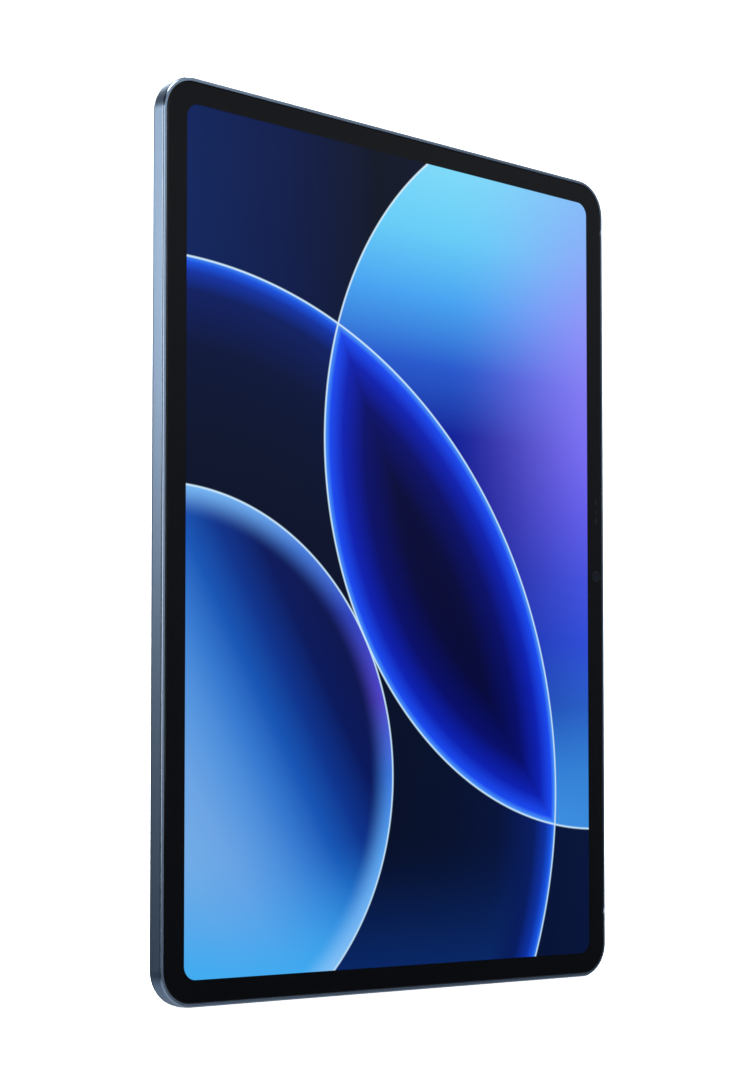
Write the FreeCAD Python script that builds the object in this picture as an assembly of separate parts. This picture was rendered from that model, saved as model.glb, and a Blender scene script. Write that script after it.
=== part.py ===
"""Tablet computer with an 11 inch 3:2 display, a machined aluminium unibody and a raised rear camera island.

Frame: +Z up along the long side, -Y out of the display, +X towards the side with the volume rocker.
The origin is the middle of the bottom edge, on the plane it stands on, at half the body's thickness.
Sizes are millimetres. Insets are measured inwards from the body's outline.
"""

import FreeCAD
import Part

import math
import os

# ---------------------------------------------------------------- driving dimensions
# body
BODY_WIDTH = 173.4
BODY_LENGTH = 251.2
BODY_THICKNESS = 6.2  # cover glass front to back face
CORNER_RADIUS = 10.2
BACK_EDGE_RADIUS = 2.0
RIM_CHAMFER_DEPTH = 0.5
RIM_CHAMFER_WIDTH = 0.3
RIM_BELOW_GLASS = 0.1
BACK_WALL = 0.7
SIDE_WALL = 3.0  # outline to the cavity, under the ledge that carries the glass
GLASS_INSET = 1.0

# display stack, front to back
GLASS_THICKNESS = 0.55
GLASS_EDGE_RADIUS = 0.3
GLASS_GAP = 0.08  # glass edge to the rim
ADHESIVE_THICKNESS = 0.1
GASKET_OVERHANG = 0.2
LCD_THICKNESS = 0.45
LIGHT_GUIDE_THICKNESS = 0.4
TRAY_THICKNESS = 0.1
SIDE_BEZEL = 7.75  # outline to the picture, on the long sides
END_BEZEL = 7.3  # outline to the picture, on the short sides
LCD_BORDER = 1.6  # picture to the panel's edge
DRIVER_BORDER = 3.9  # the same on the side where the driver ribbon is bonded
LCD_CORNER_RADIUS = 5.5

# USB-C port
PORT_DISPLAY_GAP = 0.05
SHELL_WIDTH = 8.94
SHELL_HEIGHT = 3.16
SHELL_WALL = 0.3
SHELL_DEPTH = 7.45
SHELL_RECESS = 0.15
SHELL_GAP = 0.12
TONGUE_WIDTH = 6.69
TONGUE_THICKNESS = 0.7
TONGUE_RECESS = 0.8
TONGUE_BASE = 0.9
PORT_CONTACTS = 12
PORT_CONTACT_PITCH = 0.5
PORT_CONTACT_WIDTH = 0.26
PORT_CONTACT_THICKNESS = 0.04
PORT_CONTACT_LENGTH = 4.1
PORT_CONTACT_FROM_TIP = 0.7
TONGUE_CORNER_RADIUS = 0.25
SEAL_WIDTH = 0.6
SEAL_THICKNESS = 1.0

# speakers and microphones
GRILLE_HOLES = 9
GRILLE_HOLE_DIAMETER = 1.4
GRILLE_PITCH = 2.6
GRILLE_FROM_SIDE = 45.7  # outline of the long side to the grille's middle
MOUTH_MARGIN = 0.3
MESH_MARGIN = 0.5
MESH_THICKNESS = 0.15
FOAM_THICKNESS = 0.25
SPEAKER_WIDTH = 30.0
SPEAKER_DEPTH = 12.0
SPEAKER_WALL = 0.5
SPEAKER_CORNER_RADIUS = 1.5
DRIVER_WIDTH = 15.0
DRIVER_MARGIN = 1.8
MAGNET_MARGIN = 1.5
DRIVER_MAGNET_THICKNESS = 1.6
MIC_HOLE_DIAMETER = 0.9
MIC_SIZE = 3.4
MIC_THICKNESS = 1.3
TOP_MIC_X = 4.0
SIDE_MIC_ABOVE_MIDDLE = 40.0

# keys and their switches
KEY_WIDTH = 1.9
KEY_PROUD = 0.35
KEY_GAP = 0.15
KEY_LIP = 1.2  # thickness of wall that keeps the key's flange in
KEY_FLANGE = 0.6
KEY_FLANGE_REACH = 1.2  # past the ends of the cap
KEY_FLANGE_SIDE = 0.55  # past the sides of the cap
KEY_EDGE_RADIUS = 0.2
KEY_TRAVEL = 0.25
POWER_KEY_LENGTH = 14.0
POWER_KEY_FROM_SIDE = 19.7
VOLUME_KEY_LENGTH = 22.0
VOLUME_KEY_FROM_TOP = 33.2
VOLUME_RIB_RADIUS = 0.45
VOLUME_RIB_GAP = 0.05
VOLUME_STEM_SPACING = 15.0
STEM_RADIUS = 0.8
SWITCH_LENGTH = 4.0
SWITCH_WIDTH = 2.4
SWITCH_HEIGHT = 1.2
SWITCH_WALL_GAP = 0.3
SWITCH_FLOOR = 0.35
SWITCH_BUTTON_RADIUS = 0.75
SWITCH_BUTTON_GAP = 0.2
KEY_RIBBON_WIDTH = 2.0
BRACKET_THICKNESS = 0.3
BRACKET_WIDTH = 2.6
BRACKET_REACH = 4.0  # past the middle of the outermost switch

# rear camera island
ISLAND_SIZE = 33.0
ISLAND_CORNER_RADIUS = 8.0
ISLAND_HEIGHT = 1.5
ISLAND_SUNK = 0.2  # how deep its cap is let into the back face
ISLAND_EDGE_RADIUS = 0.6
ISLAND_FROM_SIDE = 12.2
ISLAND_FROM_TOP = 13.7
PLUG_INSET = 2.4  # island outline to the stub that goes through the back wall
PLUG_GAP = 0.05
RING_SPACING = 15.6
RING_RADIUS = 6.2
RING_PROUD = 0.2
RING_WALL = 1.0
RING_SEAT = 0.3
RING_GAP = 0.05
RING_EDGE_RADIUS = 0.15
WINDOW_THICKNESS = 0.6
CAMERA_BODY = 9.4
CAMERA_DISPLAY_GAP = 0.3
CAMERA_FLOOR = 1.0
CAMERA_NECK_RADIUS = 4.2
CAMERA_NECK_GAP = 0.3
CAMERA_NECK_LENGTH = 0.9
BARREL_RADIUS = 3.2
BARREL_GAP = 0.15
BARREL_EYE_RADIUS = 1.4
BARREL_DISH = 0.8
FOCUS_TRAVEL = 0.3
FOCUS_STOP_GAP = 0.1
FLASH_BOARD = 7.4
FLASH_CHIP = 3.4
FLASH_BOARD_THICKNESS = 0.6

# front camera and light sensors
FRONT_CAMERA_INSET = 3.8
FRONT_CAMERA_SIZE = 3.4
FRONT_CAMERA_DEPTH = 3.4
FRONT_LENS_RADIUS = 1.1
FRONT_LENS_LENGTH = 1.1
FRONT_LENS_EDGE_RADIUS = 0.2
SENSOR_ABOVE_CAMERA = 23.6
SENSOR_STEP = 3.0
SENSOR_COUNT = 3
SENSOR_SIZE = 1.6
SENSOR_DEPTH = 1.0
SENSOR_GAP = 0.2

# boards
BOARD_THICKNESS = 0.8
BOARD_SIDE_GAP = 2.5
BOARD_SLOT_GAP = 0.8
BOARD_CORNER_RADIUS = 1.5
LEFT_SCREW_FROM_CAVITY = 12.0
RIGHT_SCREW_FROM_CAVITY = 5.0
BOSS_GAP = 0.5
BOSS_RADIUS = 1.5
BOARD_BEHIND_EDGE_LINE = 0.57  # the boards' front, behind the line of the port and keys
SCREW_RADIUS = 0.7
SCREW_GAP = 0.02
SCREW_BOARD_GAP = 0.2
SCREW_TIP_GAP = 0.1
SCREW_HEAD_RADIUS = 1.3
SCREW_HEAD_HEIGHT = 0.5
SCREW_FROM_EDGE = 3.0
DRIVE_LENGTH = 1.2
DRIVE_WIDTH = 0.3
DRIVE_DEPTH = 0.25
SHIELD_HEIGHT = 1.3
SHIELD_WALL = 0.15
SHIELD_CORNER_RADIUS = 0.6
SHIELD_FROM_EDGE = 6.0
SHIELD_FROM_SCREW = 4.3
CHIP_GAP = 0.15
PROCESSOR_SIZE = 15.0
MEMORY_SIZE = 12.0
POWER_CHIP_SIZE = 9.0
RADIO_CHIP_SIZE = 8.0
CHIP_SPACING = 2.0
PROCESSOR_SHIELD = PROCESSOR_SIZE + MEMORY_SIZE + POWER_CHIP_SIZE + 4 * CHIP_SPACING
MAINBOARD_HEIGHT = 34.0
MAINBOARD_FROM_TOP = 17.4
SOCKET_HEIGHT = 0.8
SOCKET_DEPTH = 2.6
SOCKET_MARGIN = 0.5
SOCKET_FROM_EDGE = 1.6
PORT_SOCKET_FROM_TOP = 4.4
CAMERA_SOCKET_GAP = 6.0
PORT_BOARD_TOP = 24.0
PORT_BOARD_SIDE_GAP = 4.0
RIBBON_THICKNESS = 0.12
RIBBON_GAP = 0.02
LINK_RIBBON_WIDTH = 8.0
DISPLAY_RIBBON_WIDTH = 12.0
DISPLAY_RIBBON_FROM_EDGE = 23.0
DISPLAY_RIBBON_FOOT = 40.0
DISPLAY_RIBBON_CORNER = 2.0
DRIVER_OVERLAP = 1.0
CAMERA_RIBBON_WIDTH = 6.0
BATTERY_RIBBON_WIDTH = 5.0
BATTERY_RIBBON_X = -30.0
KEY_TAB_LENGTH = 4.0
KEY_TAB_OVERLAP = 1.0
KEY_TAB_DROP = 5.0
STRIP_CORNER_RADIUS = 1.0

# battery
CELL_GAP = 3.0
CELL_CONTACT_GAP = 0.4  # bay rib to the accessory contacts' block
CELL_BOTTOM = 44.0
CELL_EDGE_RADIUS = 0.9
CELL_CORNER_RADIUS = 1.2
TERRACE_MARGIN = 2.0
TERRACE_CORNER_RADIUS = 0.5
CELL_ADHESIVE = 0.15
CELL_DISPLAY_GAP = 1.2
TERRACE_LENGTH = 3.0
TERRACE_THICKNESS = 0.4
STRIPS_PER_CELL = 3
STRIP_WIDTH = 8.0
STRIP_END_GAP = 8.0
PROTECTION_BOARD_HEIGHT = 6.0
PROTECTION_BOARD_GAP = 1.0
PROTECTION_PART_LENGTH = 4.0
PROTECTION_PART_WIDTH = 2.4
PROTECTION_PARTS_FROM_END = (12.0, 20.0)
BAY_RIB_WIDTH = 0.8
BAY_RIB_HEIGHT = 1.6
BAY_RIB_GAP = 0.5

# accessory contacts, magnets and antennas
CONTACT_COUNT = 3
CONTACT_RADIUS = 1.3
CONTACT_PITCH = 4.4
CONTACT_MARGIN = 1.0
CONTACT_FROM_SIDE = 9.0
CONTACT_RECESS = 0.05
CONTACT_RIBBON_WIDTH = 3.6
MAGNET_LENGTH = 8.0
MAGNET_WIDTH = 1.8
MAGNET_HEIGHT = 2.5
MAGNET_WALL_GAP = 0.3
MAGNET_PITCH = 12.0
MAGNETS_PER_SIDE = 5
MAGNETS_FROM_BOTTOM = 40.0
ANTENNA_SLOT = 1.5
ANTENNA_FROM_TOP = 15.2
ANTENNA_FROM_BOTTOM = 20.0
CARRIER_WIDTH = 4.3
CARRIER_LENGTH = 6.0

# drawing aids
OVERCUT = 1.0  # how far a cutting tool reaches past what it cuts
BITE = 0.1  # how deep a feature is sunk into what it is fused with
HAIR = 0.1  # the small gap between loose pieces inside the body
SOFT_CORNER = 0.3  # corner radius of small moulded and soldered pieces
SAME = 1e-6

# ---------------------------------------------------------------- places worked out from them
HALF_WIDTH = BODY_WIDTH / 2
TOP = BODY_LENGTH
MIDDLE_Z = BODY_LENGTH / 2
FRONT_Y = -BODY_THICKNESS / 2
BACK_Y = BODY_THICKNESS / 2
RIM_Y = FRONT_Y + RIM_BELOW_GLASS
GLASS_BACK_Y = FRONT_Y + GLASS_THICKNESS
LEDGE_Y = GLASS_BACK_Y + ADHESIVE_THICKNESS
LCD_BACK_Y = LEDGE_Y + LCD_THICKNESS
GUIDE_BACK_Y = LCD_BACK_Y + LIGHT_GUIDE_THICKNESS
DISPLAY_BACK_Y = GUIDE_BACK_Y + TRAY_THICKNESS
RIBBON_Y = DISPLAY_BACK_Y + RIBBON_GAP
INNER_BACK_Y = BACK_Y - BACK_WALL
EDGE_Y = DISPLAY_BACK_Y + PORT_DISPLAY_GAP + SHELL_HEIGHT / 2  # the line of the port, grilles and keys
BOARD_FRONT_Y = EDGE_Y + BOARD_BEHIND_EDGE_LINE
BOARD_BACK_Y = BOARD_FRONT_Y + BOARD_THICKNESS
BOSS_HEIGHT = INNER_BACK_Y - BOARD_BACK_Y
SOCKET_FRONT_Y = BOARD_FRONT_Y - SOCKET_HEIGHT
CAVITY_X = HALF_WIDTH - SIDE_WALL
PICTURE_X = HALF_WIDTH - SIDE_BEZEL
LCD_LEFT = -PICTURE_X - DRIVER_BORDER
LCD_RIGHT = PICTURE_X + LCD_BORDER
LCD_BOTTOM = END_BEZEL - LCD_BORDER
LCD_TOP = TOP - END_BEZEL + LCD_BORDER
ISLAND_X = HALF_WIDTH - ISLAND_FROM_SIDE - ISLAND_SIZE / 2
ISLAND_Z = TOP - ISLAND_FROM_TOP - ISLAND_SIZE / 2
ISLAND_SEAT_Y = BACK_Y - ISLAND_SUNK
ISLAND_BACK_Y = BACK_Y + ISLAND_HEIGHT
PLUG_SIZE = ISLAND_SIZE - 2 * PLUG_INSET
CAMERA_Z = ISLAND_Z + RING_SPACING / 2
CAMERA_FRONT_Y = DISPLAY_BACK_Y + CAMERA_DISPLAY_GAP
FLASH_Z = ISLAND_Z - RING_SPACING / 2
WINDOW_FRONT_Y = ISLAND_BACK_Y - WINDOW_THICKNESS
RING_FRONT_Y = WINDOW_FRONT_Y - RING_SEAT
POWER_X = HALF_WIDTH - POWER_KEY_FROM_SIDE
VOLUME_Z = TOP - VOLUME_KEY_FROM_TOP
FLANGE_WIDTH = KEY_WIDTH + 2 * KEY_FLANGE_SIDE
VOLUME_PIVOT_X = HALF_WIDTH - KEY_LIP - VOLUME_RIB_GAP - VOLUME_RIB_RADIUS
FRONT_CAMERA_X = HALF_WIDTH - FRONT_CAMERA_INSET
SENSOR_TOP_Z = MIDDLE_Z + SENSOR_ABOVE_CAMERA
MAINBOARD_TOP = TOP - MAINBOARD_FROM_TOP
MAINBOARD_BOTTOM = MAINBOARD_TOP - MAINBOARD_HEIGHT
MAIN_SOCKET_Z = (MAINBOARD_BOTTOM + SOCKET_FROM_EDGE, MAINBOARD_BOTTOM + SOCKET_FROM_EDGE + SOCKET_DEPTH)
PORT_SOCKET_Z = (PORT_BOARD_TOP - PORT_SOCKET_FROM_TOP - SOCKET_DEPTH, PORT_BOARD_TOP - PORT_SOCKET_FROM_TOP)
CELL_TOP = MAINBOARD_BOTTOM - PROTECTION_BOARD_HEIGHT
CELL_FRONT_Y = DISPLAY_BACK_Y + CELL_DISPLAY_GAP
CELL_BACK_Y = INNER_BACK_Y - CELL_ADHESIVE
PORT_TOP = SHELL_RECESS + SHELL_DEPTH
GRILLE_X = HALF_WIDTH - GRILLE_FROM_SIDE
GRILLE_WIDTH = (GRILLE_HOLES - 1) * GRILLE_PITCH + GRILLE_HOLE_DIAMETER
BOTTOM_MIC_X = (SHELL_WIDTH / 2 + GRILLE_X - SPEAKER_WIDTH / 2) / 2
SPEAKER_INSET = SIDE_WALL + MESH_THICKNESS + FOAM_THICKNESS
PORT_BOARD_HALF = GRILLE_X - SPEAKER_WIDTH / 2 - PORT_BOARD_SIDE_GAP
PORT_BOARD_BOTTOM = SIDE_WALL + MIC_THICKNESS + 2 * HAIR
SWITCH_INSET = SIDE_WALL + SWITCH_WALL_GAP
KEY_RIBBON_INSET = SWITCH_INSET + SWITCH_HEIGHT
BRACKET_INSET = KEY_RIBBON_INSET + RIBBON_THICKNESS
CONTACT_X = -HALF_WIDTH + CONTACT_FROM_SIDE
BAY_RIB_X = -CONTACT_X - CONTACT_RADIUS - CONTACT_MARGIN - CELL_CONTACT_GAP
CELL_OUTER_X = BAY_RIB_X - BAY_RIB_WIDTH - BAY_RIB_GAP
DISPLAY_RIBBON_X = LCD_LEFT + DISPLAY_RIBBON_FROM_EDGE

TURN_TO = {
    "Z": FreeCAD.Rotation(),
    "Y": FreeCAD.Rotation(FreeCAD.Vector(1, 0, 0), -90),
    "X": FreeCAD.Rotation(FreeCAD.Vector(1, 1, 1), 120),
}
DIRECTION = {
    "X": FreeCAD.Vector(1, 0, 0),
    "Y": FreeCAD.Vector(0, 1, 0),
    "Z": FreeCAD.Vector(0, 0, 1),
}


# ---------------------------------------------------------------- plain shapes
def about(middle, size):
    """The pair that spans size about middle."""
    return (middle - size / 2, middle + size / 2)


def shrunk(pair, margin):
    """The pair drawn in by a margin at both ends."""
    return (pair[0] + margin, pair[1] - margin)


def outline(width, height, radius):
    """A rounded rectangle about the origin in the XY plane, as a closed wire."""
    radius = min(radius, width / 2, height / 2)
    across, up = width / 2 - radius, height / 2 - radius
    corners = [(across, up, 0), (-across, up, 90), (-across, -up, 180), (across, -up, 270)]
    arcs = []
    for x, y, turn in corners:
        angles = [math.radians(turn + step) for step in (0, 45, 90)]
        points = [FreeCAD.Vector(x + radius * math.cos(a), y + radius * math.sin(a), 0) for a in angles]
        arcs.append(points)
    edges = []
    for here, following in zip(arcs, arcs[1:] + arcs[:1]):
        if radius > 0:
            edges.append(Part.Arc(*here).toShape())
        if here[2].distanceToPoint(following[0]) > SAME:
            edges.append(Part.LineSegment(here[2], following[0]).toShape())
    return Part.Wire(edges)


def bar(x, y, z, radius=0.0, along="Y"):
    """A block between the pairs x, y and z, with the four edges that run along one axis rounded."""
    wide, high, deep = {"X": (y, z, x), "Y": (x, z, y), "Z": (x, y, z)}[along]
    face = Part.Face(outline(wide[1] - wide[0], high[1] - high[0], radius))
    solid = face.extrude(FreeCAD.Vector(0, 0, deep[1] - deep[0]))
    middle = [sum(pair) / 2 for pair in (x, y, z)]
    middle["XYZ".index(along)] = deep[0]
    solid.Placement = FreeCAD.Placement(FreeCAD.Vector(*middle), TURN_TO[along])
    return solid


def plate(inset, y):
    """A slab that follows the body's outline at an inset, between the pair y."""
    x = (-HALF_WIDTH + inset, HALF_WIDTH - inset)
    return bar(x, y, (inset, TOP - inset), CORNER_RADIUS - inset)


def rod(x, y, z, radius, length, along="Y"):
    """A cylinder that starts at x, y, z and runs in the positive direction of an axis."""
    return Part.makeCylinder(radius, length, FreeCAD.Vector(x, y, z), DIRECTION[along])


def ribbon(path, width, along):
    """A thin strip that follows a path of (place, y) points, running along X or Z."""
    far = [(place, y + RIBBON_THICKNESS) for place, y in reversed(path)]
    loop = path + far + path[:1]
    if along == "Z":
        points = [FreeCAD.Vector(width[0], y, place) for place, y in loop]
        sweep = FreeCAD.Vector(width[1] - width[0], 0, 0)
    else:
        points = [FreeCAD.Vector(place, y, width[0]) for place, y in loop]
        sweep = FreeCAD.Vector(0, 0, width[1] - width[0])
    return Part.Face(Part.makePolygon(points)).extrude(sweep)


def fused(shapes):
    """Several shapes as one solid."""
    return shapes[0].multiFuse(shapes[1:]).removeSplitter()


def group(shapes):
    """Several separate solids in one node."""
    return Part.makeCompound(list(shapes))


def rounded(solid, radius, chosen):
    """The solid with the edges rounded whose middle passes the test."""
    return solid.makeFillet(radius, [edge for edge in solid.Edges if chosen(edge.CenterOfMass)])


# ---------------------------------------------------------------- places that several pieces share
def from_end(at_top, near, far):
    """The Z pair between two distances from the top or the bottom edge."""
    return (TOP - far, TOP - near) if at_top else (near, far)


def from_side(side, near, far):
    """The X pair between two insets from the right (+1) or the left (-1) outline."""
    return tuple(sorted((side * (HALF_WIDTH - near), side * (HALF_WIDTH - far))))


def speaker_places():
    """The middle in X of each speaker, and whether it is at the top."""
    return {
        "top_left": (-GRILLE_X, True),
        "top_right": (GRILLE_X, True),
        "bottom_left": (-GRILLE_X, False),
        "bottom_right": (GRILLE_X, False),
    }


def mainboard_screw_places():
    """X and Z of the mainboard's screws."""
    left, right = -CAVITY_X + LEFT_SCREW_FROM_CAVITY, CAVITY_X - RIGHT_SCREW_FROM_CAVITY
    beside_island = ISLAND_X - PLUG_SIZE / 2 - BOSS_RADIUS - BOSS_GAP
    low, high = MAINBOARD_BOTTOM + SCREW_FROM_EDGE, MAINBOARD_TOP - SCREW_FROM_EDGE
    between = left + 2 * SHIELD_FROM_SCREW + PROCESSOR_SHIELD
    halfway = (low + high) / 2
    upper = [(left, high), (between, high), (beside_island, high)]
    return upper + [(left, low), (between, halfway), (right, low)]


def port_board_screw_places():
    """X and Z of the port board's screws."""
    reach = PORT_BOARD_HALF - SCREW_FROM_EDGE
    heights = (PORT_TOP + SCREW_FROM_EDGE, PORT_BOARD_TOP - SCREW_FROM_EDGE)
    return [(side * reach, height) for side in (-1, 1) for height in heights]


def volume_stem_places():
    """Z of the two stems under the volume rocker."""
    return about(VOLUME_Z, VOLUME_STEM_SPACING)


def contact_places():
    """Z of each accessory contact."""
    steps = [number - (CONTACT_COUNT - 1) / 2 for number in range(CONTACT_COUNT)]
    return [MIDDLE_Z + step * CONTACT_PITCH for step in steps]


# ---------------------------------------------------------------- housing
def blank():
    """The unibody before it is hollowed: a rounded slab with a soft back edge and a chamfered rim."""
    shoulder_y = RIM_Y + RIM_CHAMFER_DEPTH
    slab = plate(0, (shoulder_y, BACK_Y))
    slab = rounded(slab, BACK_EDGE_RADIUS, lambda point: abs(point.y - BACK_Y) < SAME)
    wires = []
    for inset, y in ((0, shoulder_y), (RIM_CHAMFER_WIDTH, RIM_Y)):
        wire = outline(BODY_WIDTH - 2 * inset, BODY_LENGTH - 2 * inset, CORNER_RADIUS - inset)
        wire.Placement = FreeCAD.Placement(FreeCAD.Vector(0, y, MIDDLE_Z), TURN_TO["Y"])
        wires.append(wire)
    return fused([slab, Part.makeLoft(wires, True, True)])


def glass_pocket():
    """The shallow recess in the front that the cover glass drops into."""
    return plate(GLASS_INSET, (FRONT_Y - OVERCUT, LEDGE_Y))


def antenna_windows():
    """The slots through the right-hand wall that let radio out of the metal body."""
    y = (FRONT_Y - OVERCUT, BACK_Y + OVERCUT)
    heights = (ANTENNA_FROM_BOTTOM, TOP - ANTENNA_FROM_TOP)
    return [bar((CAVITY_X, HALF_WIDTH + OVERCUT), y, about(height, ANTENNA_SLOT)) for height in heights]


def key_openings():
    """For each key the slot for its cap, and the wider pocket behind it for its flange."""
    slot_y = about(EDGE_Y, KEY_WIDTH + 2 * KEY_GAP)
    pocket_y = about(EDGE_Y, FLANGE_WIDTH + 2 * KEY_GAP)
    slot, pocket = 2 * KEY_GAP, 2 * KEY_FLANGE_REACH + 4 * KEY_GAP
    cap_depth = (-OVERCUT, KEY_LIP + BITE)
    flange_depth = (KEY_LIP, SIDE_WALL + BITE)
    power, volume = about(POWER_X, POWER_KEY_LENGTH + slot), about(VOLUME_Z, VOLUME_KEY_LENGTH + slot)
    power_pocket = about(POWER_X, POWER_KEY_LENGTH + pocket)
    volume_pocket = about(VOLUME_Z, VOLUME_KEY_LENGTH + pocket)
    return [
        bar(power, slot_y, from_end(True, *cap_depth), KEY_WIDTH, "Z"),
        bar(power_pocket, pocket_y, from_end(True, *flange_depth), SOFT_CORNER, "Z"),
        bar(from_side(1, *cap_depth), slot_y, volume, KEY_WIDTH, "X"),
        bar(from_side(1, *flange_depth), pocket_y, volume_pocket, SOFT_CORNER, "X"),
    ]


def port_opening():
    """The slot in the bottom edge for the USB-C receptacle."""
    x, y = about(0, SHELL_WIDTH + 2 * SHELL_GAP), about(EDGE_Y, SHELL_HEIGHT + 2 * SHELL_GAP)
    return bar(x, y, (-OVERCUT, SIDE_WALL + OVERCUT), SHELL_HEIGHT, "Z")


def grille_holes():
    """The rows of drilled holes in front of the four speakers."""
    holes = []
    for middle, at_top in speaker_places().values():
        start = from_end(at_top, -OVERCUT, SIDE_WALL + BITE)[0]
        for number in range(GRILLE_HOLES):
            x = middle + (number - (GRILLE_HOLES - 1) / 2) * GRILLE_PITCH
            holes.append(rod(x, EDGE_Y, start, GRILLE_HOLE_DIAMETER / 2, SIDE_WALL + OVERCUT + BITE, "Z"))
    return holes


def microphone_holes():
    """One pinhole each in the top, the bottom and the right-hand edge."""
    radius, length = MIC_HOLE_DIAMETER / 2, SIDE_WALL + OVERCUT + BITE
    return [
        rod(TOP_MIC_X, EDGE_Y, TOP - SIDE_WALL - BITE, radius, length, "Z"),
        rod(BOTTOM_MIC_X, EDGE_Y, -OVERCUT, radius, length, "Z"),
        rod(CAVITY_X - BITE, EDGE_Y, MIDDLE_Z + SIDE_MIC_ABOVE_MIDDLE, radius, length, "X"),
    ]


def sensor_pockets():
    """Recesses in the right-hand ledge for the front camera and the light sensors."""
    x = (LCD_RIGHT + SENSOR_GAP, FRONT_CAMERA_X + FRONT_CAMERA_SIZE / 2 + SENSOR_GAP)
    camera_y = (GLASS_BACK_Y, LEDGE_Y + FRONT_CAMERA_DEPTH + 2 * SENSOR_GAP)
    sensor_y = (GLASS_BACK_Y, LEDGE_Y + SENSOR_DEPTH + RIBBON_THICKNESS + 2 * SENSOR_GAP)
    sensor_z = (sensor_heights()[-1] - SENSOR_SIZE, sensor_heights()[0] + SENSOR_SIZE)
    return [
        bar(x, camera_y, about(MIDDLE_Z, FRONT_CAMERA_SIZE + 2 * SENSOR_GAP), SOFT_CORNER),
        bar(x, sensor_y, sensor_z, SOFT_CORNER),
    ]


def island_opening():
    """The stepped hole in the back wall that the camera island sits in."""
    through = island_block(PLUG_SIZE + 2 * PLUG_GAP, (INNER_BACK_Y - BITE, BACK_Y + OVERCUT))
    seat = island_block(ISLAND_SIZE + 2 * PLUG_GAP, (ISLAND_SEAT_Y, BACK_Y + OVERCUT))
    return through.fuse(seat)


def contact_block(y):
    """The block that holds the accessory contacts, between the pair y."""
    width = 2 * (CONTACT_RADIUS + CONTACT_MARGIN)
    height = width + (CONTACT_COUNT - 1) * CONTACT_PITCH
    return bar(about(CONTACT_X, width), y, about(MIDDLE_Z, height), width / 2)


def screw_bosses():
    """Posts on the inside of the back wall for the boards, each with its blind hole."""
    posts = []
    for x, z in mainboard_screw_places() + port_board_screw_places():
        post = rod(x, BOARD_BACK_Y, z, BOSS_RADIUS, BOSS_HEIGHT + BITE)
        posts.append(post.cut(rod(x, BOARD_BACK_Y, z, SCREW_RADIUS + SCREW_GAP, BOSS_HEIGHT)))
    return posts


def battery_bay():
    """The low rib round three sides of the cells and up their middle."""
    inner, outer = BAY_RIB_X - BAY_RIB_WIDTH, BAY_RIB_X
    y = (INNER_BACK_Y - BAY_RIB_HEIGHT, INNER_BACK_Y + BITE)
    floor = CELL_BOTTOM - BAY_RIB_GAP
    ring = bar((-outer, outer), y, (floor - BAY_RIB_WIDTH, CELL_TOP - TERRACE_LENGTH))
    bay = bar((-inner, inner), (y[0] - OVERCUT, y[1] + OVERCUT), (floor, CELL_TOP + OVERCUT))
    spine = bar(about(0, BAY_RIB_WIDTH), y, (floor - BITE, CELL_TOP - TERRACE_LENGTH))
    return [ring.cut(bay), spine]


def unibody_housing():
    """The machined body: back, four walls and the ledge for the glass, in one piece."""
    cuts = [
        glass_pocket(),
        plate(SIDE_WALL, (LEDGE_Y - BITE, INNER_BACK_Y)),
        *antenna_windows(),
        *key_openings(),
        port_opening(),
        *grille_holes(),
        *microphone_holes(),
        *sensor_pockets(),
        island_opening(),
        contact_block((INNER_BACK_Y - BITE, BACK_Y + OVERCUT)),
    ]
    return fused([blank().cut(cuts), *screw_bosses(), *battery_bay()])


def antenna_inserts():
    """Plastic that fills the antenna windows flush with the metal."""
    wall = blank().cut(glass_pocket())
    return group(wall.common(window) for window in antenna_windows())


# ---------------------------------------------------------------- display
def cover_glass():
    glass = plate(GLASS_INSET + GLASS_GAP, (FRONT_Y, GLASS_BACK_Y))
    return rounded(glass, GLASS_EDGE_RADIUS, lambda point: abs(point.y - FRONT_Y) < SAME)


def glass_gasket():
    """Adhesive foam ring that holds the glass on the housing's ledge."""
    y = (GLASS_BACK_Y, LEDGE_Y)
    window = plate(SIDE_WALL + GASKET_OVERHANG, (y[0] - OVERCUT, y[1] + OVERCUT))
    return plate(GLASS_INSET + 2 * GLASS_GAP, y).cut([window, *sensor_pockets()])


def display_layer(y, shrink=0.0):
    """One layer of the display module, between the pair y."""
    x = (LCD_LEFT + shrink, LCD_RIGHT - shrink)
    return bar(x, y, (LCD_BOTTOM + shrink, LCD_TOP - shrink), LCD_CORNER_RADIUS - shrink)


def optical_adhesive():
    """Clear adhesive that bonds the panel to the glass."""
    return display_layer((GLASS_BACK_Y, LEDGE_Y), GASKET_OVERHANG)


def lcd_panel():
    return display_layer((LEDGE_Y, LCD_BACK_Y))


def light_guide():
    """Light guide and diffuser sheets of the backlight."""
    return display_layer((LCD_BACK_Y, GUIDE_BACK_Y), HAIR)


def backlight_tray():
    """Thin steel pan behind the light guide."""
    return display_layer((GUIDE_BACK_Y, DISPLAY_BACK_Y))


def display_ribbon():
    """Ribbon from the driver edge, flat behind the tray, then up and back to the mainboard."""
    foot_x = (LCD_LEFT + DRIVER_OVERLAP, DISPLAY_RIBBON_X + DISPLAY_RIBBON_WIDTH / 2)
    foot_y = (RIBBON_Y, RIBBON_Y + RIBBON_THICKNESS)
    foot = bar(foot_x, foot_y, about(MIDDLE_Z, DISPLAY_RIBBON_FOOT), DISPLAY_RIBBON_CORNER)
    bend = MAIN_SOCKET_Z[0] - SOCKET_DEPTH
    meet = SOCKET_FRONT_Y - RIBBON_THICKNESS
    path = [(MIDDLE_Z, RIBBON_Y), (bend, RIBBON_Y), (MAIN_SOCKET_Z[0], meet), (MAIN_SOCKET_Z[1], meet)]
    return fused([foot, ribbon(path, about(DISPLAY_RIBBON_X, DISPLAY_RIBBON_WIDTH), "Z")])


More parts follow.
